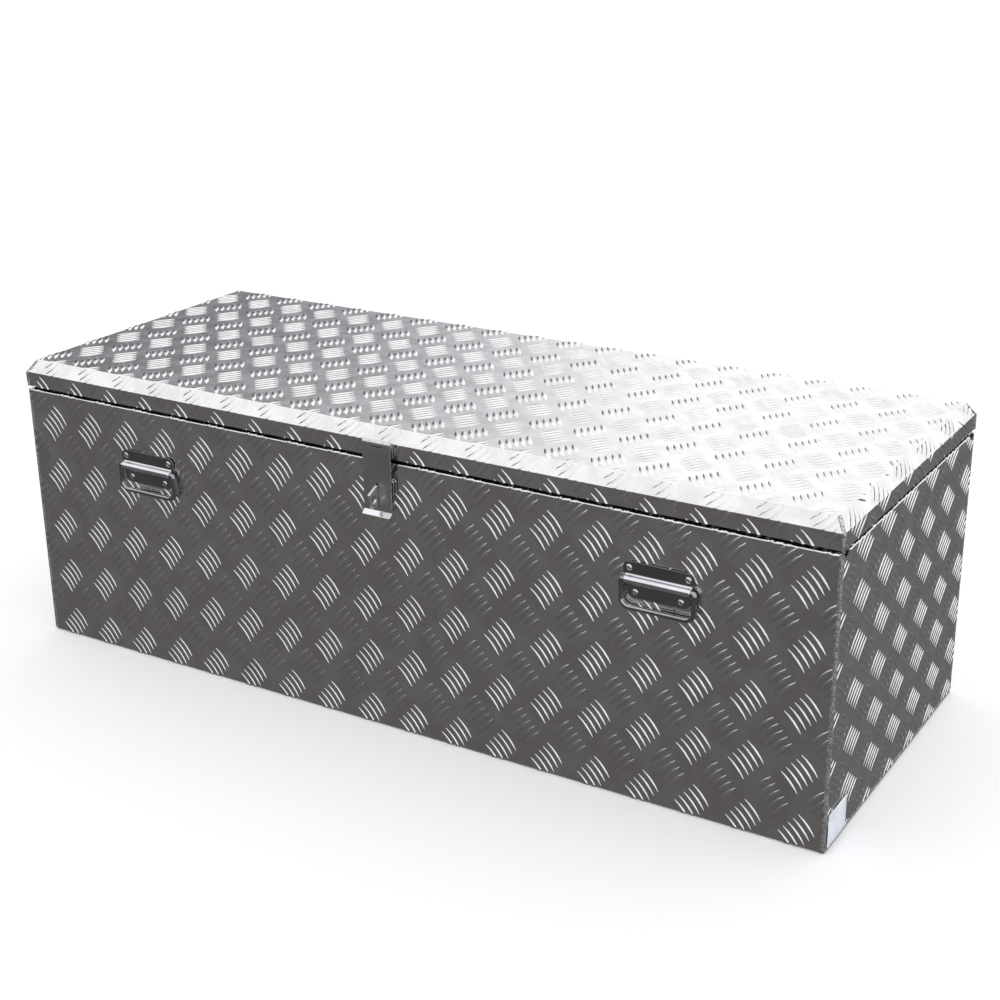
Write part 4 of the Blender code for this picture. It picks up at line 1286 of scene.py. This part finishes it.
# Metallic, colours, roughness, patch, grain, and where they matter stretch, turn and relief
ALONG_X, ALONG_Z = (0.05, 1, 1), (1, 1, 0.06)
FINISHES = {
    "tread_face": (
        1.0, ((0.79, 0.775, 0.765), (0.88, 0.88, 0.878)), (0.17, 0.235), 38, 260, (1, 1, 0.12), 38, 6e-6,
    ),
    "tread_bar": (1.0, (grey(0.78, 0.004), grey(0.88, 0.003)), (0.15, 0.20), 30, 500),
    "sheet_back": (1.0, (grey(0.62), grey(0.74)), (0.36, 0.48), 12, 300, ALONG_X, 0, 3e-5),
    "weld": (0.85, (grey(0.34), grey(0.70)), (0.32, 0.5), 420, 900, (1, 1, 0.3), 0, 5e-5),
    "hinge_aluminium": (1.0, (grey(0.66), grey(0.76)), (0.28, 0.4), 14, 400, (0.04, 1, 1), 0, 2e-5),
    "rivet": (1.0, (grey(0.58), grey(0.70)), (0.16, 0.26), 90, 900),
    # Painted shade: a darker copy of the handle plate's polished steel, for the dark reflection in its flat
    # face
    "polished_steel": (1.0, ((0.31, 0.31, 0.33), (0.37, 0.37, 0.39)), (0.05, 0.11), 25, 500),
    # Painted highlight: a brighter copy of the same polished steel, for the gleam on the handle's barrel
    "painted_highlight_steel": (1.0, ((0.72, 0.73, 0.77), (0.82, 0.83, 0.87)), (0.05, 0.11), 25, 500),
    "grip_steel": (1.0, ((0.35, 0.35, 0.37), (0.43, 0.43, 0.45)), (0.04, 0.09), 25, 500),
    # A dull cut edge, partly painted shade: darkened to dim the highlight on the handle plate's edges, and
    # painted shade in the rivet heads' pin holes
    "dull_edge_painted_shade": (1.0, (grey(0.16), grey(0.26)), (0.45, 0.6), 60, 900),
    "satin_steel": (1.0, (grey(0.60), grey(0.67)), (0.28, 0.33), 20, 500, ALONG_Z, 0, 8e-6),
    # Painted highlight: a brighter copy of the hasp's steel on its bent-out lip, where it faces the sky
    "painted_highlight_lip_steel": (1.0, ((0.80, 0.81, 0.84), (0.88, 0.89, 0.92)), (0.24, 0.30), 20, 500),
    "zinc_steel": (1.0, ((0.60, 0.60, 0.58), (0.72, 0.71, 0.67)), (0.28, 0.45), 70, 300),
    "rubber": (0.0, (grey(0.012), grey(0.028)), (0.5, 0.7), 60, 900, (1, 1, 1), 0, 5e-5),
    "label": (0.0, ((0.70, 0.73, 0.80), (0.78, 0.81, 0.88)), (0.35, 0.5), 60, 800),
}
MATERIALS = {name: surface(name, *values) for name, values in FINISHES.items()}


def finish_piece(item, body, slot, nodes, finishes=None):
    """Dress a piece, let it ride on its body and hide the CAD nodes it stands for; slot is the finish when no
    finishes are given.
    """
    for finish in finishes or (slot,):
        item.data.materials.append(MATERIALS[finish])
    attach(item, body)
    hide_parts(*nodes)


# ------------------------------------------------------------ camera and world
def camera():
    """The camera, in front of the right end and looking down at the box."""
    data = bpy.data.cameras.new("camera")
    data.lens = 62.3
    data.sensor_width = 36.0
    item = linked("camera", data)
    forward = Vector((-0.48671, 0.79448, -0.36320)).normalized()
    right = Vector((0.85483, 0.51879, -0.01070)).normalized()
    down = forward.cross(right).normalized()
    turn = Matrix((right, -down, -forward)).transposed()
    item.matrix_world = Matrix.Translation((0.97570, -1.55101, 0.91429)) @ turn.to_4x4()
    bpy.context.scene.camera = item


SKY = (1.17, 1.175, 1.19)
FRONT_SKY = (1.08, 1.08, 1.09)
# The sky dims behind and to the left, by the cosine between a heading and DIM_HEADING degrees
DIM_HEADING = 152
BACK_SKY = [
    (0.79, SKY), (0.825, (1.03, 1.04, 1.06)), (0.848, (0.72, 0.73, 0.76)), (0.872, (0.45, 0.46, 0.49)),
    (0.90, (0.26, 0.265, 0.29)), (0.93, (0.15, 0.155, 0.175)), (0.96, (0.09, 0.095, 0.11)),
]
SIDE_SHADE = (0.17, 0.165, 0.165)
FRONT_GROUND = (0.119, 0.114, 0.111)
REAR_GROUND = (0.148, 0.141, 0.143)


def facing(tree, heading, degrees):
    """Cosine between a level heading and a compass angle, measured from +X towards +Y."""
    toward = (math.cos(math.radians(degrees)), math.sin(math.radians(degrees)), 0)
    inputs = {0: heading, 1: toward}
    return add(tree, "ShaderNodeVectorMath", inputs, operation="DOT_PRODUCT").outputs["Value"]


def ramp(tree, value, stops):
    """A colour that runs through (place, colour) stops."""
    node = add(tree, "ShaderNodeValToRGB", {0: value})
    points = node.color_ramp.elements
    points[0].position, points[1].position = stops[0][0], stops[-1][0]
    points[0].color, points[1].color = (*stops[0][1], 1), (*stops[-1][1], 1)
    for place, colour in stops[1:-1]:
        points.new(place).color = (*colour, 1)
    return node.outputs[0]


def world():
    """A white sky over dark ground, dim behind to the left and low down at the left.

    Towards the front right and the rear left the sky reaches a little below the level. The
    camera sees a plain white.
    """
    result = bpy.data.worlds.new("studio")
    bpy.context.scene.world = result
    result.use_nodes = True
    tree = result.node_tree
    tree.nodes.clear()
    direction = add(tree, "ShaderNodeTexCoord").outputs["Generated"]
    parts = add(tree, "ShaderNodeSeparateXYZ", {0: direction})
    height = parts.outputs[2]
    level = add(tree, "ShaderNodeCombineXYZ", {0: parts.outputs[0], 1: parts.outputs[1]})
    heading = add(tree, "ShaderNodeVectorMath", {0: level.outputs[0]}, operation="NORMALIZE").outputs[0]

    def fades(value, start, end):
        return ranged(tree, value, 0.0, 1.0, start, end)

    def toward(degrees, start, end):
        return fades(facing(tree, heading, degrees), start, end)

    clear = overlaid(tree, fades(parts.outputs[1], -0.2, 0.3), FRONT_SKY, SKY)
    # The dim stretch is behind, low, and not quite on the left
    shade = ramp(tree, facing(tree, heading, DIM_HEADING), BACK_SKY)
    back_side = fades(parts.outputs[1], 0.0, 0.3)
    back_low = ranged(tree, height, 1.0, 0.0, 0.33, 0.42)
    back = maths(tree, "MULTIPLY", back_side, back_low)
    not_left = ranged(tree, facing(tree, heading, 190), 1.0, 0.0, 0.719, 0.809)
    back = maths(tree, "MULTIPLY", back, not_left)
    left_low = ranged(tree, height, 1.0, 0.0, 0.14, 0.32)
    left = maths(tree, "MULTIPLY", toward(215, 0.35, 0.60), left_low)
    sky = overlaid(tree, left, overlaid(tree, back, clear, shade), SIDE_SHADE)
    ground = overlaid(tree, toward(73, -0.3, 0.6), FRONT_GROUND, REAR_GROUND)
    deep = ranged(tree, height, 0.92, 1.04, -0.7, -0.3)
    ground = add(tree, "ShaderNodeVectorMath", {0: ground, "Scale": deep}, operation="SCALE").outputs[0]
    lit_side = maths(tree, "MAXIMUM", toward(300, 0.65, 0.80), toward(118, 0.80, 0.90))
    lifted = maths(tree, "MULTIPLY", fades(height, -0.24, -0.12), lit_side)
    above = maths(tree, "MAXIMUM", fades(height, -0.02, 0.03), lifted)
    light = add(tree, "ShaderNodeLightPath")
    plain = add(tree, "ShaderNodeBackground", {"Color": (1.2, 1.2, 1.2, 1)})
    strength = ranged(tree, light.outputs["Is Diffuse Ray"], 1.0, 1.12, 0.0, 1.0)
    colour = overlaid(tree, above, ground, sky)
    lit = add(tree, "ShaderNodeBackground", {"Color": colour, "Strength": strength})
    seen = {0: light.outputs["Is Camera Ray"], 1: lit.outputs[0], 2: plain.outputs[0]}
    both = add(tree, "ShaderNodeMixShader", seen)
    add(tree, "ShaderNodeOutputWorld", {0: both.outputs[0]})


def floor():
    """A pale floor, which the metal doesn't mirror."""
    bpy.ops.mesh.primitive_plane_add(size=80, location=(0, 0, -0.0002))
    item = bpy.context.active_object
    item.name = "floor"
    material = bpy.data.materials.new("floor")
    material.use_nodes = True
    shader = material.node_tree.nodes["Principled BSDF"]
    shader.inputs["Base Color"].default_value = (0.96, 0.96, 0.96, 1)
    shader.inputs["Roughness"].default_value = 0.9
    item.data.materials.append(material)
    item.visible_glossy = False


# -------------------------------------------------------------------- assembly
camera()
world()
floor()
bpy.context.scene.view_settings.view_transform = "Standard"

HANDLE_FINISHES = ("polished_steel", "painted_highlight_steel", "dull_edge_painted_shade")
RIVET_FINISHES = ("rivet", "dull_edge_painted_shade")
# One finish for each of Flat's kinds
TREAD_FINISHES = ("tread_face", "tread_bar", "sheet_back", "sheet_back", "weld")
finish_piece(body_wrap(), "box", "tread_plate", ["body_wrap"], TREAD_FINISHES)
finish_piece(lid_plate(), "lid", "tread_plate", ["lid_shell"], TREAD_FINISHES)
finish_piece(rim_seal(), "box", "rubber", ["rim_seal"])
finish_piece(label(), "box", "label", ["label"])

for group, side in SIDES:
    panel = end_panel(f"end_panel_{group}_plate", side)
    finish_piece(panel, "box", "tread_plate", [f"end_panel_{group}"], TREAD_FINISHES)
    finish_piece(end_weld(f"end_weld_{group}_bead", side), "box", "weld", [f"end_weld_{group}"])
    back = handle_plate(f"handle_{group}_backplate", side)
    finish_piece(back, "box", "polished_steel", [f"handle_{group}_plate"], HANDLE_FINISHES)
    bail = handle_bail(f"handle_{group}_grip", side)
    finish_piece(bail, f"bail_{group}", "polished_steel", [f"handle_{group}_bail"], ("grip_steel",))
    face = FRONT_FACE - CLEAR - HANDLE_PLATE
    grip = HANDLE_PLATE + CLEAR + PLATE
    for index, (x, z) in enumerate(handle_rivet_places(side), 1):
        head = rivet(f"handle_{group}_rivet_head_{index}", (x, face, z), "-Y", HEAD_LARGE, grip)
        finish_piece(head, "box", "rivet", [f"handle_{group}_rivet_{index}"], RIVET_FINISHES)
    finish_piece(stay_stud(f"stay_stud_{group}_turned", side), "box", "satin_steel", [f"stay_stud_{group}"])
    finish_piece(stay_pin(f"stay_pin_{group}_turned", side), "lid", "zinc_steel", [f"stay_pin_{group}"])
    bracket = lid_bracket(f"lid_bracket_{group}_angle", side)
    finish_piece(bracket, "lid", "zinc_steel", [f"lid_bracket_{group}"])
    arm = stay_arm(f"stay_arm_{group}_bar", side)
    finish_piece(arm, f"stay_{group}", "zinc_steel", [f"stay_arm_{group}"])

for leaf, body, up, reach, rivets in HINGE_LEAVES:
    sheet = hinge_leaf(f"hinge_{leaf}_sheet", reach, rivets, up)
    finish_piece(sheet, body, "hinge_aluminium", [f"hinge_{leaf}_leaf"])
rod = pin_rod("hinge_rod", (0, HINGE_Y, HINGE_Z), HINGE_PIN_RADIUS, 2 * HINGE_HALF + 0.003)
finish_piece(rod, "box", "zinc_steel", ["hinge_pin"])
grip = HINGE_SHEET + CLEAR + PLATE
for leaf, body, up, _, rivets in HINGE_LEAVES:
    for index, x in enumerate(HINGE_RIVET_X, 1):
        place = (x, HALF_D + CLEAR + HINGE_SHEET, HINGE_Z + up * rivets)
        head = rivet(f"hinge_{leaf}_rivet_head_{index}", place, "Y", HEAD_SMALL, grip)
        finish_piece(head, body, "rivet", [f"hinge_rivet_{leaf}_{index}"], RIVET_FINISHES)

finish_piece(hasp_leaf(), "lid", "satin_steel", ["hasp_lid_leaf"])
rod = pin_rod("hasp_rod", (0, HASP_Y, HASP_Z), HASP_PIN_RADIUS, HASP_WIDTH + 0.001)
finish_piece(rod, "lid", "satin_steel", ["hasp_pin"])
finish_piece(hasp_strap(), "hasp", "satin_steel", ["hasp_strap"], ("satin_steel", "painted_highlight_lip_steel"))
finish_piece(lock_eye(), "eye", "satin_steel", ["lock_eye"])
finish_piece(keeper_plate(), "box", "satin_steel", ["hasp_keeper_plate"])
grip = HASP_SHEET + CLEAR + PLATE
face = FRONT_FACE - CLEAR - HASP_SHEET
for body, kind, places in (("box", "keeper", KEEPER_RIVETS), ("lid", "hasp", HASP_RIVETS)):
    for (group, _), (x, z) in zip(SIDES, places):
        head = rivet(f"{kind}_rivet_head_{group}", (x, face, z), "-Y", HEAD_SMALL, grip)
        finish_piece(head, body, "rivet", [f"{kind}_rivet_{group}"], RIVET_FINISHES)
